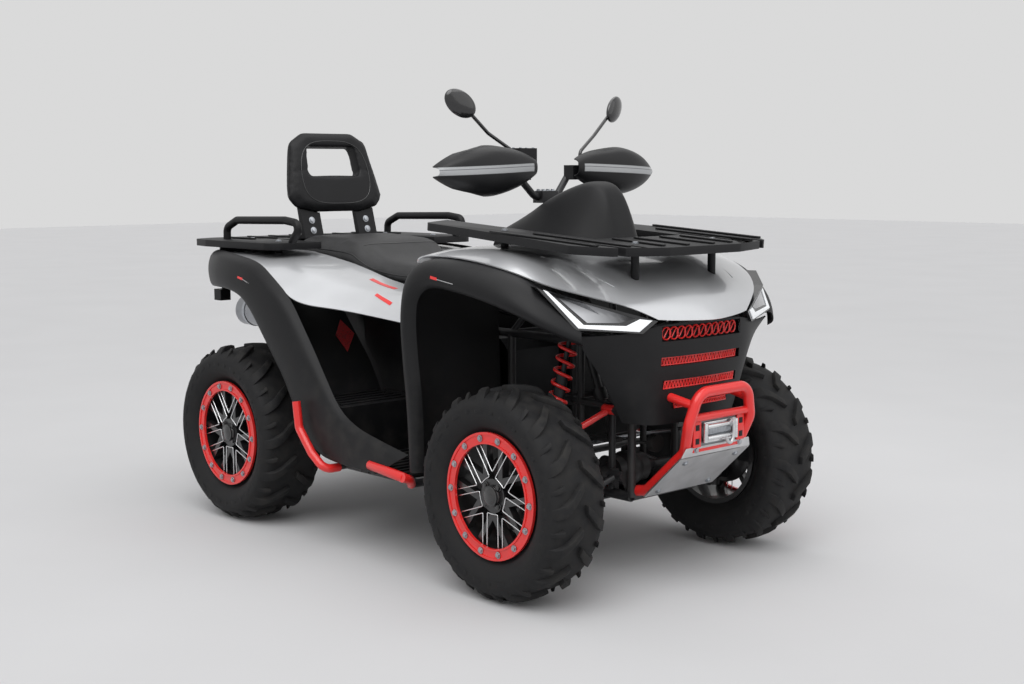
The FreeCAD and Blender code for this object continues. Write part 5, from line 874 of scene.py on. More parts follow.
# Half a section, across and up, as shares of the half width and the height, from the underside's middle.
SEAT_ROUND = [
    (0.0, 0.0), (0.55, 0.0), (0.96, 0.0), (1.07, 0.10), (1.09, 0.32), (1.05, 0.58), (1.0, 0.80), (0.90, 0.95),
    (0.72, 1.0), (0.36, 1.0), (0.0, 0.995),
]


def curve_value(p0, p1, p2, p3, t):
    """A smooth curve's value at a share of the way from p1 to p2, led by p0 and p3."""
    return 0.5 * (
        2 * p1 + (p2 - p0) * t + (2 * p0 - 5 * p1 + 4 * p2 - p3) * t * t + (3 * p1 - p0 - 3 * p2 + p3) * t ** 3)


def smooth_table(table, steps):
    """A table of rows made finer with smooth curves through its rows."""
    rows = []
    for i in range(len(table) - 1):
        around = (table[max(i - 1, 0)], table[i], table[i + 1], table[min(i + 2, len(table) - 1)])
        for k in range(steps):
            rows.append(tuple(curve_value(*values, k / steps) for values in zip(*around)))
    rows.append(table[-1])
    return rows


def seat_shape():
    """The seat before it is stuffed."""
    points = []
    for x, half, low, high in smooth_table(SEAT_SECTIONS, 3):
        left = [(x, y * half, low + z * (high - low)) for y, z in SEAT_ROUND]
        points += mirrored(reversed(left[1:-1]), -1) + left
    return skin(points, 2 * len(SEAT_ROUND) - 2)


def stuffed(shape, voxel, swell, pressure=4.0):
    """Remeshes a closed shape and lets it swell as a stuffed cover, no point further than swell."""
    modify(shape, "REMESH", mode="VOXEL", voxel_size=voxel)
    start = [vertex.co.copy() for vertex in shape.data.vertices]
    cloth = shape.modifiers.new("Cloth", "CLOTH")
    cloth.settings.use_pressure = True
    cloth.settings.uniform_pressure_force = pressure
    cloth.settings.effector_weights.gravity = 0
    cloth.settings.quality = 4
    scene = bpy.context.scene
    for moment in range(1, STUFFING_FRAMES + 1):
        scene.frame_set(moment)
    blown = shape.evaluated_get(bpy.context.evaluated_depsgraph_get())
    places = [vertex.co.copy() for vertex in blown.data.vertices]
    shape.modifiers.remove(cloth)
    scene.frame_set(1)
    for vertex, old, new in zip(shape.data.vertices, start, places):
        step = new - old
        if step.length > swell:
            step *= swell / step.length
        vertex.co = old + step
    modify(shape, "SMOOTH", factor=0.5, iterations=6)
    return modify(shape, "SUBSURF", levels=1, render_levels=1)


class QUAD_OT_seat(bpy.types.Operator):
    """Models the stuffed two-up seat with its seams"""
    bl_idname = "quad.seat"
    bl_label = "Seat"

    def execute(self, context):
        sizes = context.scene.quad_sizes
        seat = stuffed(seat_shape(), sizes.cushion_voxel, sizes.cushion_swell)
        seams = []
        for side in (1, -1):
            rays = []
            for x, half, low, high in smooth_table(SEAT_SECTIONS, 3)[1:-1]:
                rays.append(((x, side * (half + 0.12), high + 0.045), (0, -side, -0.62)))
            seams.append(wire(lift_off(seat, rays, 0.0004), 0.0022, smooth=True))
        for x, lean in ((-0.405, -0.12), (-0.795, 0.0)):
            rays = [((x, 0.019 * k, ABOVE_RACKS), (lean, 0, -1)) for k in range(-9, 10)]
            seams.append(wire(lift_off(seat, rays, 0.0002), SEAM_RADIUS, smooth=True))
        hand_over(seat, "seat_cushion", "seat_cover", 80)
        hand_over(seams, "seat_piping", "gloss_black", 60)
        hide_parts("seat")
        return {"FINISHED"}


SEAM_STEPS = 40
SEAM_HALF_WIDTH = 0.165
SEAM_HALF_HEIGHT = 0.125
SEAM_NARROWING = 0.12  # share of the width that the backrest's seam loses at its top


class QUAD_OT_backrest(bpy.types.Operator):
    """Models the moulded backrest pad with its seam"""
    bl_idname = "quad.backrest"
    bl_label = "Backrest"

    def execute(self, context):
        pad = stuffed(own_copy("backrest"), 0.006, 0.003, 1.5)
        low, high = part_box("backrest")
        middle = (low.z + high.z) / 2
        rays = []
        for k in range(SEAM_STEPS):
            turn = 2 * math.pi * k / SEAM_STEPS
            cos, sin = [math.copysign(abs(wave(turn)) ** 0.6, wave(turn)) for wave in (math.cos, math.sin)]
            across = cos * SEAM_HALF_WIDTH * (1.0 - SEAM_NARROWING * max(sin, 0.0))
            rays.append(((-0.55, across, middle + sin * SEAM_HALF_HEIGHT), BACKWARD))
        seam = wire(lift_off(pad, rays, 0.0), SEAM_RADIUS, closed=True, smooth=True)
        hand_over(pad, "backrest_pad", "black_moulding", 80)
        hand_over(seam, "backrest_seam", "gloss_black", 60)
        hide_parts("backrest")
        return {"FINISHED"}


# Front end

LAMP_CORNERS = [Vector(p) for p in (
    (0.86988, 0.5202, 0.965), (0.97644, 0.4608, 0.842), (1.05784, 0.2598, 0.822), (1.07708, 0.2148, 0.858),
    (0.97052, 0.4302, 0.925))]
LAMP_MIDDLE = sum(LAMP_CORNERS, Vector()) / len(LAMP_CORNERS)
LAMP_LOOKS = Vector((0.9, 0.36, 0.1))
STRIP_THICKNESS = 0.0045


def lamp_places(shares):
    """Places on the lamp's facets, given as shares of the way from its corners to its middle."""
    return [corner.lerp(LAMP_MIDDLE, share) for corner, share in zip(LAMP_CORNERS, shares)]


class QUAD_OT_headlamps(bpy.types.Operator):
    """Adds the reflectors, light strips, projector eyes and their rings to the headlamps"""
    bl_idname = "quad.headlamps"
    bl_label = "Headlamps"

    def execute(self, context):
        points = lamp_places((0.30, 0.46, 0.56, 0.40, 0.16)) + [LAMP_MIDDLE]
        bowl = faces_mesh(points, [(i, (i + 1) % 5, 5) for i in range(5)])
        solid_sheet(bowl, 0.002, FORWARD)
        points = lamp_places((0.10, 0.09, 0.09, 0.10)) + lamp_places((0.18, 0.31, 0.40, 0.32))
        strip = faces_mesh(points, [(i, i + 1, i + 5, i + 4) for i in range(3)])
        solid_sheet(strip, STRIP_THICKNESS, (0.9, 0.4, 0.1))
        soften(strip, STRIP_THICKNESS * 0.3, 2, 40)
        eye = bar(LAMP_MIDDLE + Vector((-0.004, -0.02, -0.022)), LAMP_MIDDLE + Vector((0.006, -0.0165, -0.021)),
                  0.021, 36, 0.002)
        ring = spun([(0.021, -0.002, 0), (0.0245, -0.002, 0), (0.0245, 0.004, 0), (0.021, 0.004, 0)], 40)
        turn = LAMP_LOOKS.to_track_quat("Y", "Z").to_matrix().to_4x4()
        ring.data.transform(Matrix.Translation(LAMP_MIDDLE + Vector((0.004, -0.018, -0.0215))) @ turn)
        for piece, name, look in (
                (bowl, "reflector", "lamp_reflector"), (strip, "light_strip", "light_strip"),
                (eye, "lamp_eye", "gloss_black"), (ring, "lamp_ring", "machined")):
            twin = other_side(piece)
            hand_over(piece, name + "_left", look, 30)
            hand_over(twin, name + "_right", look, 30)
        return {"FINISHED"}


LATTICE_DEPTH = 0.010
BACKING_DEPTH = 0.016
BAR_PITCH = 0.0065
BACKING_STEPS = 16
RING_STEPS = 14
RING_PITCH = 0.0315
RING_HEIGHT = 0.815
# Each slot's row of leaning bars, and each backing strip: its bottom, top and half width.
BAR_ROWS = ((0.717, 0.743, 0.176), (0.645, 0.671, 0.164), (0.583, 0.599, 0.122))
BACKING_ROWS = ((0.786, 0.844, 0.208), (0.710, 0.750, 0.206), (0.638, 0.678, 0.194), (0.577, 0.605, 0.150))


def behind_grille(y, z, depth=LATTICE_DEPTH):
    """A place behind the grille's bowed face."""
    return (1.0786 - 0.0131 * (abs(y) / 0.186) ** 2 - depth, y, z)


def across_grille(half, z, steps, depth=LATTICE_DEPTH):
    """Places across the grille, behind its face."""
    return [behind_grille(2 * half * (t / steps - 0.5), z, depth) for t in range(steps + 1)]


class QUAD_OT_grille(bpy.types.Operator):
    """Adds the red lattice behind the grille's slots, and its black backing"""
    bl_idname = "quad.grille"
    bl_label = "Grille lattice"

    def execute(self, context):
        pieces = []
        for k in range(-5, 6):
            y = RING_PITCH * k
            points = []
            for step in range(RING_STEPS):
                turn = 2 * math.pi * step / RING_STEPS
                points.append(behind_grille(y + 0.0175 * math.cos(turn), RING_HEIGHT + 0.0195 * math.sin(turn)))
            pieces.append(wire(points, 0.0028, 1, closed=True, smooth=True))
            x = behind_grille(y, RING_HEIGHT)[0]
            pieces.append(wire([(x, y - 0.010, 0.803), (x, y + 0.008, 0.829)], 0.0024, 1))
        for low, high, half in BAR_ROWS:
            count = int(half / BAR_PITCH)
            for k in range(-count, count + 1):
                x, y, z = behind_grille(k * half / count, low)
                lean = 0.003 if k % 2 else -0.002
                pieces.append(wire([(x, y - lean, low), (x, y + lean, high)], 0.0021, 1))
            for z in (low + 0.002, high - 0.002):
                pieces.append(wire(across_grille(half, z, 12), 0.0022, 1))
        hand_over(pieces, "grille_lattice", "red_paint", 60)
        backing = []
        for low, high, half in BACKING_ROWS:
            points = []
            for z in (low, high):
                points += across_grille(half, z, BACKING_STEPS, BACKING_DEPTH)
            row = BACKING_STEPS + 1
            faces = [(i, i + 1, i + 1 + row, i + row) for i in range(BACKING_STEPS)]
            backing.append(solid_sheet(faces_mesh(points, faces), 0.002))
        hand_over(backing, "grille_backing", "black_moulding", 60)
        return {"FINISHED"}


ROPE_RADIUS = 0.0035
ROPE_TURNS = 16
ROPE_PITCH = 0.0075
ROLLER_RADIUS = 0.0075


class QUAD_OT_bumper_fittings(bpy.types.Operator):
    """Adds the winch's bracket, fairlead, rope and hook, the bumper's bolts and the skid's lip"""
    bl_idname = "quad.bumper_fittings"
    bl_label = "Bumper fittings"

    def execute(self, context):
        brackets = side_blocks((1.137, 0.086, 0.468), (1.142, 0.122, 0.556), 0.001)
        brackets.append(block((1.1385, -0.118, 0.548), (1.1445, 0.118, 0.572), 0.0015))
        brackets.append(block((1.128, -0.118, 0.452), (1.137, 0.118, 0.468), 0.0015))
        hand_over(brackets, "winch_bracket", "red_paint", 30)
        # Black patches on the bracket's face: painted shade standing in for the dark insides of its two square
        # holes.
        holes = []
        for z in (0.487, 0.529):
            holes += side_blocks((1.1415, 0.095, z - 0.009), (1.1428, 0.113, z + 0.009), 0.0005)
        hand_over(holes, "winch_bracket_hole_shade", "black_moulding", 30)
        fairlead = [block((1.1365, -0.075, z), (1.1445, 0.080, z + 0.007), 0.0012) for z in (0.478, 0.535)]
        for y in (-0.072, 0.072):
            fairlead.append(bar((1.147, y, 0.480), (1.147, y, 0.540), ROLLER_RADIUS, 20, 0.001))
        for z in (0.492, 0.528):
            fairlead.append(bar((1.147, -0.065, z), (1.147, 0.065, z), ROLLER_RADIUS, 20, 0.001))
        hand_over(fairlead, "fairlead", "machined", 30)
        drum = []
        for k in range(ROPE_TURNS):
            loop = [polar(ROPE_RADIUS, 2 * math.pi * i / 8).xzy for i in range(8)]
            middle = Vector((0.0335, -0.056 + ROPE_PITCH * k, 0))
            ring = spun([middle + point for point in loop], 28)
            ring.data.transform(Matrix.Translation((1.104, 0, 0.508)))
            drum.append(ring)
        hand_over(drum, "winch_rope", "bolt_steel", 60)
        bend = [
            (1.152, 0.052, 0.545), (1.156, 0.052, 0.520), (1.158, 0.050, 0.490), (1.158, 0.040, 0.468),
            (1.158, 0.022, 0.470), (1.157, 0.016, 0.486)]
        hook = [wire(bend, 0.0055, 3, smooth=True)] + hex_bolt((1.150, 0.052, 0.530), FORWARD, 0.018, 0.010)
        hand_over(hook, "winch_hook", "brushed_silver", 40)
        bolts = []
        for side in (1, -1):
            for x, z in ((1.1445, 0.560), (1.137, 0.460)):
                bolts += hex_bolt((x, side * 0.104, z), FORWARD, 0.013, 0.006)
        for y in (-0.12, 0.12):
            for share in (0.12, 0.86):
                centre = Vector((0.981, y, 0.297)).lerp(Vector((1.128, y, 0.437)), share)
                bolts += hex_bolt(centre, (0.69, 0, -0.72), 0.014, 0.006)
        hand_over(bolts, "bumper_bolts", "bolt_steel", 30)
        corners = [(1.128, -0.165, 0.440), (1.128, 0.165, 0.440), (1.136, 0.150, 0.470), (1.136, -0.150, 0.470)]
        hand_over(plate(corners, (0.003, 0, 0), 0.001), "skid_lip", "brushed_silver", 40)
        return {"FINISHED"}


# Bodywork trim

# The marks on the left side: the node they lie on, the distance off it, steps along, then each edge's two ends.
SIDE = ("side_panels", 0.0004, 10)
RED_MARKS = (
    (*SIDE, (-0.125, 0.352, 0.884), (-0.020, 0.372, 0.866), (-0.122, 0.366, 0.877), (-0.020, 0.386, 0.858)),
    (*SIDE, (-0.265, 0.262, 0.920), (-0.120, 0.262, 0.900), (-0.262, 0.282, 0.916), (-0.118, 0.282, 0.896)),
    ("front_fenders", 0.0006, 4,
     (0.500, 0.62, 0.986), (0.530, 0.62, 0.981), (0.500, 0.62, 0.977), (0.530, 0.62, 0.972)),
    ("rear_fenders", 0.0006, 4,
     (-0.625, 0.611, 0.928), (-0.590, 0.611, 0.922), (-0.625, 0.611, 0.920), (-0.590, 0.611, 0.914)),
)
PALE_MARKS = (
    ("front_fenders", 0.0006, 6,
     (0.530, 0.62, 0.977), (0.600, 0.615, 0.966), (0.530, 0.62, 0.9745), (0.600, 0.615, 0.9635)),
    ("rear_fenders", 0.0006, 6,
     (-0.590, 0.611, 0.919), (-0.545, 0.611, 0.905), (-0.590, 0.611, 0.9165), (-0.545, 0.611, 0.9025)),
)


def ribbon(node, distance, steps, corners):
    """A thin strip laid on a CAD node between two edges, each given by its ends."""
    a, b, c, d = [Vector(corner) for corner in corners]
    points = []
    for k in range(steps + 1):
        points += [a.lerp(b, k / steps), c.lerp(d, k / steps)]
    points = lift(points, node, distance)
    strip = faces_mesh(points, [(2 * k, 2 * k + 2, 2 * k + 3, 2 * k + 1) for k in range(steps)])
    place = lift(points[:1], node)[0]
    return solid_sheet(strip, 0.0008, points[0] - place)


class QUAD_OT_stripes(bpy.types.Operator):
    """Lays the red stripes on the side panels and the small marks on the fenders"""
    bl_idname = "quad.stripes"
    bl_label = "Stripes"

    def execute(self, context):
        for marks, name, slot, look in (
                (RED_MARKS, "red_stripes", "red_paint", "red_paint"),
                (PALE_MARKS, "fender_lines", "silver_metal", "brushed_silver")):
            strips = []
            for side in (1, -1):
                for node, distance, steps, *corners in marks:
                    strips.append(ribbon(node, distance, steps, mirrored(corners, side)))
            hand_over(strips, name, look, 60)
        return {"FINISHED"}


CREASE = ((0.70, 0.335, 1.2), (0.80, 0.325, 1.2), (0.90, 0.305, 1.2), (0.96, 0.280, 1.2))
VENT = ((-0.500, 0.245, 0.748), (-0.449, 0.215, 0.700), (-0.401, 0.285, 0.639), (-0.454, 0.300, 0.698))
COVER = ((-0.640, 0.170, 0.800), (-0.360, 0.170, 0.800), (-0.220, 0.170, 0.470), (-0.420, 0.170, 0.470))
STEP_RUN = ((0.150, 0.600, 0.338), (0.345, 0.608, 0.324))
# The foot boards' ribs: how many, the first one's place, their pitch, inner and outer end, foot and top.
FOOT_RIBS = ((9, -0.035, 0.038, 0.215, 0.555, 0.3195, 0.3265), (5, -0.29, 0.045, 0.235, 0.535, 0.4995, 0.5055))
RIB_WIDTH = 0.014
SCREWS = (
    ("front_fenders", ((0.372, 0.60, 0.42), (0.372, 0.60, 0.62), (0.36, 0.62, 0.80))),
    ("rear_fenders", ((0.10, 0.60, 0.345), (-0.06, 0.60, 0.36), (-0.33, 0.61, 0.66), (-0.90, 0.52, 0.93))),
)


class QUAD_OT_trim(bpy.types.Operator):
    """Adds the hood creases, foot board ribs, vents, engine side covers, step bar runs and screws"""
    bl_idname = "quad.trim"
    bl_label = "Trim"

    def execute(self, context):
        ribs = []
        for count, first, pitch, inner, outer, foot, top in FOOT_RIBS:
            for k in range(count):
                x = first + pitch * k
                ribs += side_blocks((x, inner, foot), (x + RIB_WIDTH, outer, top), 0.002)
        hand_over(ribs, "foot_ribs", "black_moulding", 40)
        creases, vents, covers, runs, screws = [], [], [], [], []
        for side in (1, -1):
            crease = lift(mirrored(CREASE, side), "hood", 0.0002, DOWN)
            creases.append(wire(crease, 0.0016, smooth=True))
            vent = lift(mirrored(VENT, side), "rear_liners", 0.001)
            vents.append(solid_sheet(faces_mesh(vent, [(0, 1, 2, 3)]), 0.003, FORWARD))
            covers.append(plate(mirrored(COVER, side), (0, side * 0.003, 0), 0.0008))
            runs.append(bar(*mirrored(STEP_RUN, side), 0.0165, 24, 0.003))
            for node, places in SCREWS:
                places = mirrored(places, side)
                for place, raised in zip(lift(places, node), lift(places, node, 0.01)):
                    out = (raised - place).normalized()
                    screws.append(bar(place, place + out * 0.003, 0.0075, 18, 0.001))
        hand_over(creases, "hood_creases", "silver_body", 60)
        hand_over(vents, "side_vents", "vent_red", 40)
        hand_over(covers, "engine_side_covers", "black_moulding", 40)
        hand_over(runs, "step_bar_runs", "red_paint", 40)
        hand_over(screws, "panel_screws", "gloss_black", 30)
        return {"FINISHED"}


RUNNER_HALF_WIDTH = 0.009
RUNNER_HEIGHT = 0.006
# Each rack's runners on the left side: across, then the two ends.
RUNNERS = {
    "front_rack": ((0.385, 0.52, 1.00), (0.290, 0.62, 1.03), (0.160, 0.84, 1.05), (0.060, 0.84, 1.06)),
    "rear_rack": ((0.36, -1.10, -0.90), (0.26, -1.10, -0.90), (0.16, -1.10, -0.90), (0.06, -1.10, -0.90)),
}
RACK_BOLTS = {
    "front_rack": ((0.952, 0.182), (0.480, 0.290)),
    "rear_rack": ((-0.960, 0.330), (-0.700, 0.380), (-0.850, 0.13)),
}


def runner(node, y, start, end):
    """A raised runner laid along a rack."""
    start, end = lift([(start, y, ABOVE_RACKS), (end, y, ABOVE_RACKS)], node, 0.0, DOWN)
    rise = Vector((0, 0, 0.0005))
    aside = Vector((0, RUNNER_HALF_WIDTH, 0))
    corners = [start + rise - aside, end + rise - aside, end + rise + aside, start + rise + aside]
    return plate(corners, (0, 0, RUNNER_HEIGHT), 0.0022)


class QUAD_OT_racks(bpy.types.Operator):
    """Adds the raised runners and bolts of the racks, and rounds the racks' edges"""
    bl_idname = "quad.racks"
    bl_label = "Racks"

    def execute(self, context):
        runners, bolts = [], []
        for side in (1, -1):
            for node, places in RUNNERS.items():
                runners += [runner(node, side * y, start, end) for y, start, end in places]
            for node, places in RACK_BOLTS.items():
                bolts += top_bolts(node, [(x, side * y) for x, y in places], 0.016, 0.006)
            ahead = [(-0.70, side * 0.133, z) for z in (1.075, 1.115)]
            for place in lift(ahead, "backrest_posts", 0.0, BACKWARD):
                bolts += hex_bolt(place, (1, 0, 0.25), 0.018, 0.007)
        hand_over(runners, "rack_runners", "dark_moulding", 40)
        hand_over(bolts, "rack_bolts", "bolt_steel", 30)
        for node in RUNNERS:
            rack = edit(own_copy(node), (bpy.ops.mesh.dissolve_limited, dict(angle_limit=math.radians(0.5))))
            soften(rack, 0.0035, 2, 40)
            hand_over(rack, node + "_moulding", "dark_moulding", 40)
            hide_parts(node)
        return {"FINISHED"}


# Controls

# Corners of the left hand guard's outline, across and up.
GUARD_PEAK = (0.310, 1.3930)
GUARD_FOOT = (0.300, 1.2190)
GUARD_TIP_HIGH = (0.505, 1.3430)
GUARD_TIP_LOW = (0.505, 1.2650)
GUARD_HEEL = (0.170, 1.2560)


def guard_cut(thing, start, end, up):
    """Trims the guard above (up 1) or below (up -1) the line between two corners."""
    normal = Vector((0, start[1] - end[1], end[0] - start[0])).normalized()
    if normal.z * up < 0:
        normal = -normal
    return cut_away(thing, (0, *start), normal)


class QUAD_OT_guards(bpy.types.Operator):
    """Trims the hand guards to their angular outline"""
    bl_idname = "quad.guards"
    bl_label = "Hand guards"

    def execute(self, context):
        guard = cut_away(own_copy("hand_guards"), (0, 0, 0), (0, -1, 0))
        guard_cut(guard, GUARD_PEAK, GUARD_TIP_HIGH, 1)
        guard_cut(guard, GUARD_FOOT, GUARD_TIP_LOW, -1)
        guard_cut(guard, GUARD_FOOT, GUARD_HEEL, -1)
        soften(outward(guard), 0.0012, 2, 45)
        guards = [guard, other_side(guard)]
        shells = hand_over(guards, "hand_guard_shells", "guard_shell", 30, "steering")
        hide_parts("hand_guards")
        return {"FINISHED"}


GRIP_INNER = (0.365, 0.200, 1.304)
GRIP_OUTER = (0.335, 0.420, 1.300)
MIRROR_CENTRE = (0.3465, 0.362, 1.524)
MIRROR_HALVES = (0.0176, 0.0585, 0.0385, 1)
MIRROR_TURN, MIRROR_TILT = math.radians(18), math.radians(34)


class QUAD_OT_controls(bpy.types.Operator):
    """Adds the mirror glasses, grip collars, switch buttons and clamp bolts"""
    bl_idname = "quad.controls"
    bl_label = "Controls"

    def execute(self, context):
        body = "steering"
        deselect()
        bpy.ops.mesh.primitive_uv_sphere_add(segments=48, ring_count=24, radius=1)
        glass = cut_away(bpy.context.object, (-0.42, 0, 0), FORWARD)
        turn = Matrix.Rotation(MIRROR_TURN, 4, "Z") @ Matrix.Rotation(MIRROR_TILT, 4, "X")
        glass.data.transform(Matrix.Translation(MIRROR_CENTRE) @ turn @ Matrix.Diagonal(MIRROR_HALVES))
        outward(glass)
        hand_over([glass, other_side(glass)], "mirror_glasses", "mirror_glass", 60, body)
        collars, buttons = [], []
        for side in (1, -1):
            start, end = [Vector(place) for place in mirrored((GRIP_INNER, GRIP_OUTER), side)]
            along = (end - start).normalized()
            for distance, width in ((-0.130, 0.008), (-0.004, 0.007)):
                inner = end + along * distance
                collars.append(bar(inner, end + along * (distance + width), 0.0205, 28, 0.0015))
            buttons.append(bar((0.425, side * 0.378, 1.292), (0.425, side * 0.386, 1.292), 0.0075, 20, 0.002))
        hand_over(collars, "grip_collars", "grip_rubber", 40, body)
        for z in (1.288, 1.302, 1.316):
            buttons += side_blocks((0.3545, 0.124, z - 0.004), (0.3575, 0.140, z + 0.004), 0.001)
        hand_over(buttons, "switch_buttons", "gloss_black", 40, body)
        bolts = top_bolts("handlebar", [(x, y) for x in (0.357, 0.381) for y in (-0.022, 0.022)], 0.012, 0.007)
        places = [(x, y) for y in (-0.140, -0.082) for x in (0.360, 0.394)]
        bolts += top_bolts("switchgear", places, 0.007, 0.003, 1.5)
        hand_over(bolts, "clamp_bolts", "bolt_steel", 30, body)
        return {"FINISHED"}


MUFFLER_Y = -0.238
TIP_PROFILE = (
    (0.014, 0, 0), (0.021, 0, 0), (0.022, 0.002, 0), (0.022, 0.034, 0), (0.020, 0.036, 0), (0.014, 0.036, 0))
BAND_PROFILE = ((0.0622, 0, 0), (0.0645, 0, 0), (0.0645, 0.016, 0), (0.0622, 0.016, 0))


def muffler_ring(profile, steps, x, z):
    """A profile turned round the muffler's axis."""
    ring = spun(profile, steps)
    ring.data.transform(Matrix.Translation((x, MUFFLER_Y, z)) @ Matrix.Rotation(math.radians(-90), 4, "Z"))
    return outward(ring)


class QUAD_OT_rear_end(bpy.types.Operator):
    """Adds the lamp frames, the exhaust tip and the muffler's bands"""
    bl_idname = "quad.rear_end"
    bl_label = "Rear end"

    def execute(self, context):
        frames = []
        for y0, y1, z0, z1 in (
                (0.226, 0.404, 0.901, 0.906), (0.226, 0.404, 0.954, 0.959),
                (0.226, 0.231, 0.905, 0.955), (0.399, 0.404, 0.905, 0.955)):
            frames += side_blocks((-1.038, y0, z0), (-1.0195, y1, z1), 0.001)
        frames.append(block((-1.024, -0.105, 0.885), (-1.0195, 0.105, 0.975), 0.0015))
        hand_over(frames, "tail_lamp_frames", "black_moulding", 30)
        tip = muffler_ring(TIP_PROFILE, 36, -1.176, 0.725)
        hand_over(tip, "exhaust_tip", "damper_steel", 40)
        bands = [muffler_ring(BAND_PROFILE, 60, x, 0.745) for x in (-1.10, -0.90)]
        hand_over(bands, "muffler_bands", "bolt_steel", 40)
        return {"FINISHED"}


# CAD nodes and their finishes

NODE_LOOKS = {
    "red_paint": [
        "upper_arms", "coil_springs", "bumper", "step_bars", *["bead_ring_" + wheel for wheel in WHEELS]],
    "rim_black": ["rim_" + wheel for wheel in WHEELS],
    "silver_body": ["hood", "side_panels"],
    "dark_moulding": ["front_fenders", "rear_fenders", "front_rack", "rear_rack", "dash_cowl", "front_grille"],
    "black_moulding": [
        "rear_liners", "footwells", "radiator", "rear_panel", "horn", "switchgear", "backrest_posts",
        "grab_rails"],
    "gloss_black": ["headlamps", "mirrors"],
    "guard_shell": ["hand_guards"],
    "powder_coat": ["frame", "lower_arms", "front_drive", "rear_drive", "handlebar", "hitch"],
    "cast_alloy": ["winch"],
    "dark_casting": ["knuckle_left", "knuckle_right", "rear_carriers", "engine", "belly_skid", "dampers"],
    "damper_steel": ["tie_rod_left", "tie_rod_right", "muffler"],
    "brushed_silver": ["bumper_plate"],
    "tail_lens": ["tail_lamps"],
    "grip_rubber": ["grips"],
    "seat_cover": ["seat", "backrest"],
    "tyre_front": ["tyre_front_left", "tyre_front_right"],
    "tyre_rear": ["tyre_rear_left", "tyre_rear_right"],
}
BROAD_PANELS = ("hood", "side_panels", "front_fenders", "rear_fenders")


class QUAD_OT_finishes(bpy.types.Operator):
    """Gives every CAD node its finish"""
    bl_idname = "quad.finishes"
    bl_label = "Finishes"

    def execute(self, context):
        missing = set(nodes)
        for look, names in NODE_LOOKS.items():
            for name in names:
                dress(nodes[name], look, 60 if name in BROAD_PANELS else 30)
                missing.discard(name)
        if missing:
            raise RuntimeError("no finish for %s" % sorted(missing))
        return {"FINISHED"}


# The studio

CAMERA_PLACE = (3.9133, -3.4122, 1.2997)
CAMERA_AZIMUTH = 0.828008796
CAMERA_ELEVATION = 0.117671988
CAMERA_ROLL = -0.00332366795
FOCAL_PIXELS = 1429.98
IMAGE_WIDTH = 1024
SENSOR_WIDTH = 36  # millimetres
WORLD_LIGHT = 0.5  # what the surroundings give to the part
WORLD_SEEN = 0.70  # how bright they look in the picture and in gloss
FLOOR_SIZE = 60


def add_lamp(name, kind, place, aim, energy, **settings):
    """A lamp that shines from a place towards a height over the part's middle."""
    data = bpy.data.lights.new(name, kind)
    data.energy = energy
    for key, value in settings.items():
        setattr(data, key, value)
    lamp = bpy.data.objects.new(name, data)
    bpy.context.scene.collection.objects.link(lamp)
    lamp.location = place
    lamp.rotation_euler = (Vector(place) - Vector((0, 0, aim))).to_track_quat("Z", "Y").to_euler()


def add_camera(scene):
    """The photograph's camera."""
    level = math.cos(CAMERA_ELEVATION)
    back = Vector((
        math.sin(CAMERA_AZIMUTH) * level, -math.cos(CAMERA_AZIMUTH) * level, math.sin(CAMERA_ELEVATION)))
    right = Vector((math.cos(CAMERA_AZIMUTH), math.sin(CAMERA_AZIMUTH), 0))
    up = back.cross(right)
    c, s = math.cos(CAMERA_ROLL), math.sin(CAMERA_ROLL)
    axes = Matrix((c * right + s * up, -s * right + c * up, back)).transposed()
    data = bpy.data.cameras.new("camera")
    data.lens = FOCAL_PIXELS / IMAGE_WIDTH * SENSOR_WIDTH
    data.clip_end = 100
    camera = bpy.data.objects.new("camera", data)
    scene.collection.objects.link(camera)
    camera.matrix_world = Matrix.Translation(CAMERA_PLACE) @ axes.to_4x4()
    scene.camera = camera


def add_floor(colour):
    """The studio floor."""
    deselect()
    bpy.ops.mesh.primitive_plane_add(size=FLOOR_SIZE, location=(0, 0, 0))
    floor = bpy.context.object
    floor.name = "studio_floor"
    f = Finish("studio_floor", colour, 0.9, specular=0.1)
    f.put("Base Color", f.mix(f.noise(1.2, 4.0).over(0.3, 0.7), darker(colour, 0.97), colour))
    floor.data.materials.append(f.material)


def add_world(scene, colour):
    """Surroundings that light the part less than they look bright."""
    world = bpy.data.worlds.new("studio")
    scene.world = world
    world.use_nodes = True
    tree = world.node_tree
    background = tree.nodes["Background"]
    path = tree.nodes.new("ShaderNodeLightPath")
    seen = path.outputs["Is Camera Ray"]
    for ray in ("Is Glossy Ray", "Is Transmission Ray"):
        add = tree.nodes.new("ShaderNodeMath")
        tree.links.new(seen, add.inputs[0])
        tree.links.new(path.outputs[ray], add.inputs[1])
        seen = add.outputs[0]
    strength = tree.nodes.new("ShaderNodeMapRange")
    strength.inputs[3].default_value = WORLD_LIGHT
    strength.inputs[4].default_value = WORLD_SEEN
    tree.links.new(seen, strength.inputs[0])
    tree.links.new(strength.outputs[0], background.inputs["Strength"])
    background.inputs["Color"].default_value = (*colour, 1)


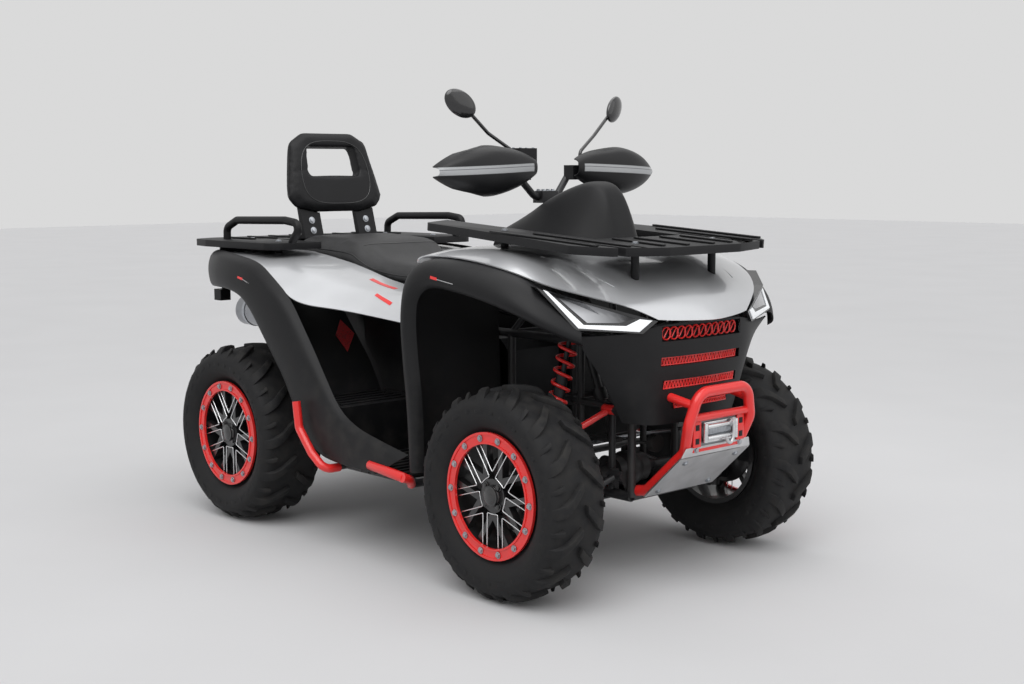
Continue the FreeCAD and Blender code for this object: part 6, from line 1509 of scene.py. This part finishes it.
class QUAD_OT_stage(bpy.types.Operator):
    """Sets up the floor, the lamps, the world and the camera"""
    bl_idname = "quad.stage"
    bl_label = "Studio"

    def execute(self, context):
        scene = context.scene
        colours = scene.quad_colours
        add_camera(scene)
        add_floor(tuple(colours.floor))
        add_world(scene, colours.backdrop)
        light = colours.light
        add_lamp("key", "SUN", (1.6, -2.6, 4.6), 0.5, light, angle=math.radians(50))
        add_lamp("fill", "SUN", (4.6, 1.6, 3.0), 0.5, light * 0.35, angle=math.radians(70))
        add_lamp("top", "AREA", (0.2, 0.2, 3.4), 0.6, light * 20, shape="RECTANGLE", size=3.6, size_y=2.2)
        scene.view_settings.view_transform = "Standard"
        return {"FINISHED"}


class QUAD_PT_panel(bpy.types.Panel):
    """The quad bike's pieces and sizes"""
    bl_idname = "QUAD_PT_panel"
    bl_label = "Quad Bike"
    bl_space_type = "VIEW_3D"
    bl_region_type = "UI"
    bl_category = "Quad Bike"

    def draw(self, context):
        layout = self.layout
        for group in (context.scene.quad_sizes, context.scene.quad_colours):
            for key in group.__annotations__:
                layout.prop(group, key)
        for operator in STEPS:
            layout.operator(operator.bl_idname)


STEPS = (
    QUAD_OT_stage, QUAD_OT_finishes, QUAD_OT_tyres, QUAD_OT_wheel_trim, QUAD_OT_seat, QUAD_OT_backrest,
    QUAD_OT_headlamps, QUAD_OT_grille, QUAD_OT_bumper_fittings, QUAD_OT_stripes, QUAD_OT_trim, QUAD_OT_racks,
    QUAD_OT_guards, QUAD_OT_controls, QUAD_OT_rear_end,
)
GROUPS = (QuadSizes, QuadColours)


def register():
    for kind in GROUPS + STEPS + (QUAD_PT_panel,):
        bpy.utils.register_class(kind)
    bpy.types.Scene.quad_sizes = bpy.props.PointerProperty(type=QuadSizes)
    bpy.types.Scene.quad_colours = bpy.props.PointerProperty(type=QuadColours)


def unregister():
    del bpy.types.Scene.quad_colours
    del bpy.types.Scene.quad_sizes
    for kind in reversed(GROUPS + STEPS + (QUAD_PT_panel,)):
        bpy.utils.unregister_class(kind)


def main():
    register()
    for step in STEPS:
        getattr(bpy.ops.quad, step.bl_idname.split(".")[1])()


if __name__ == "__main__":
    main()
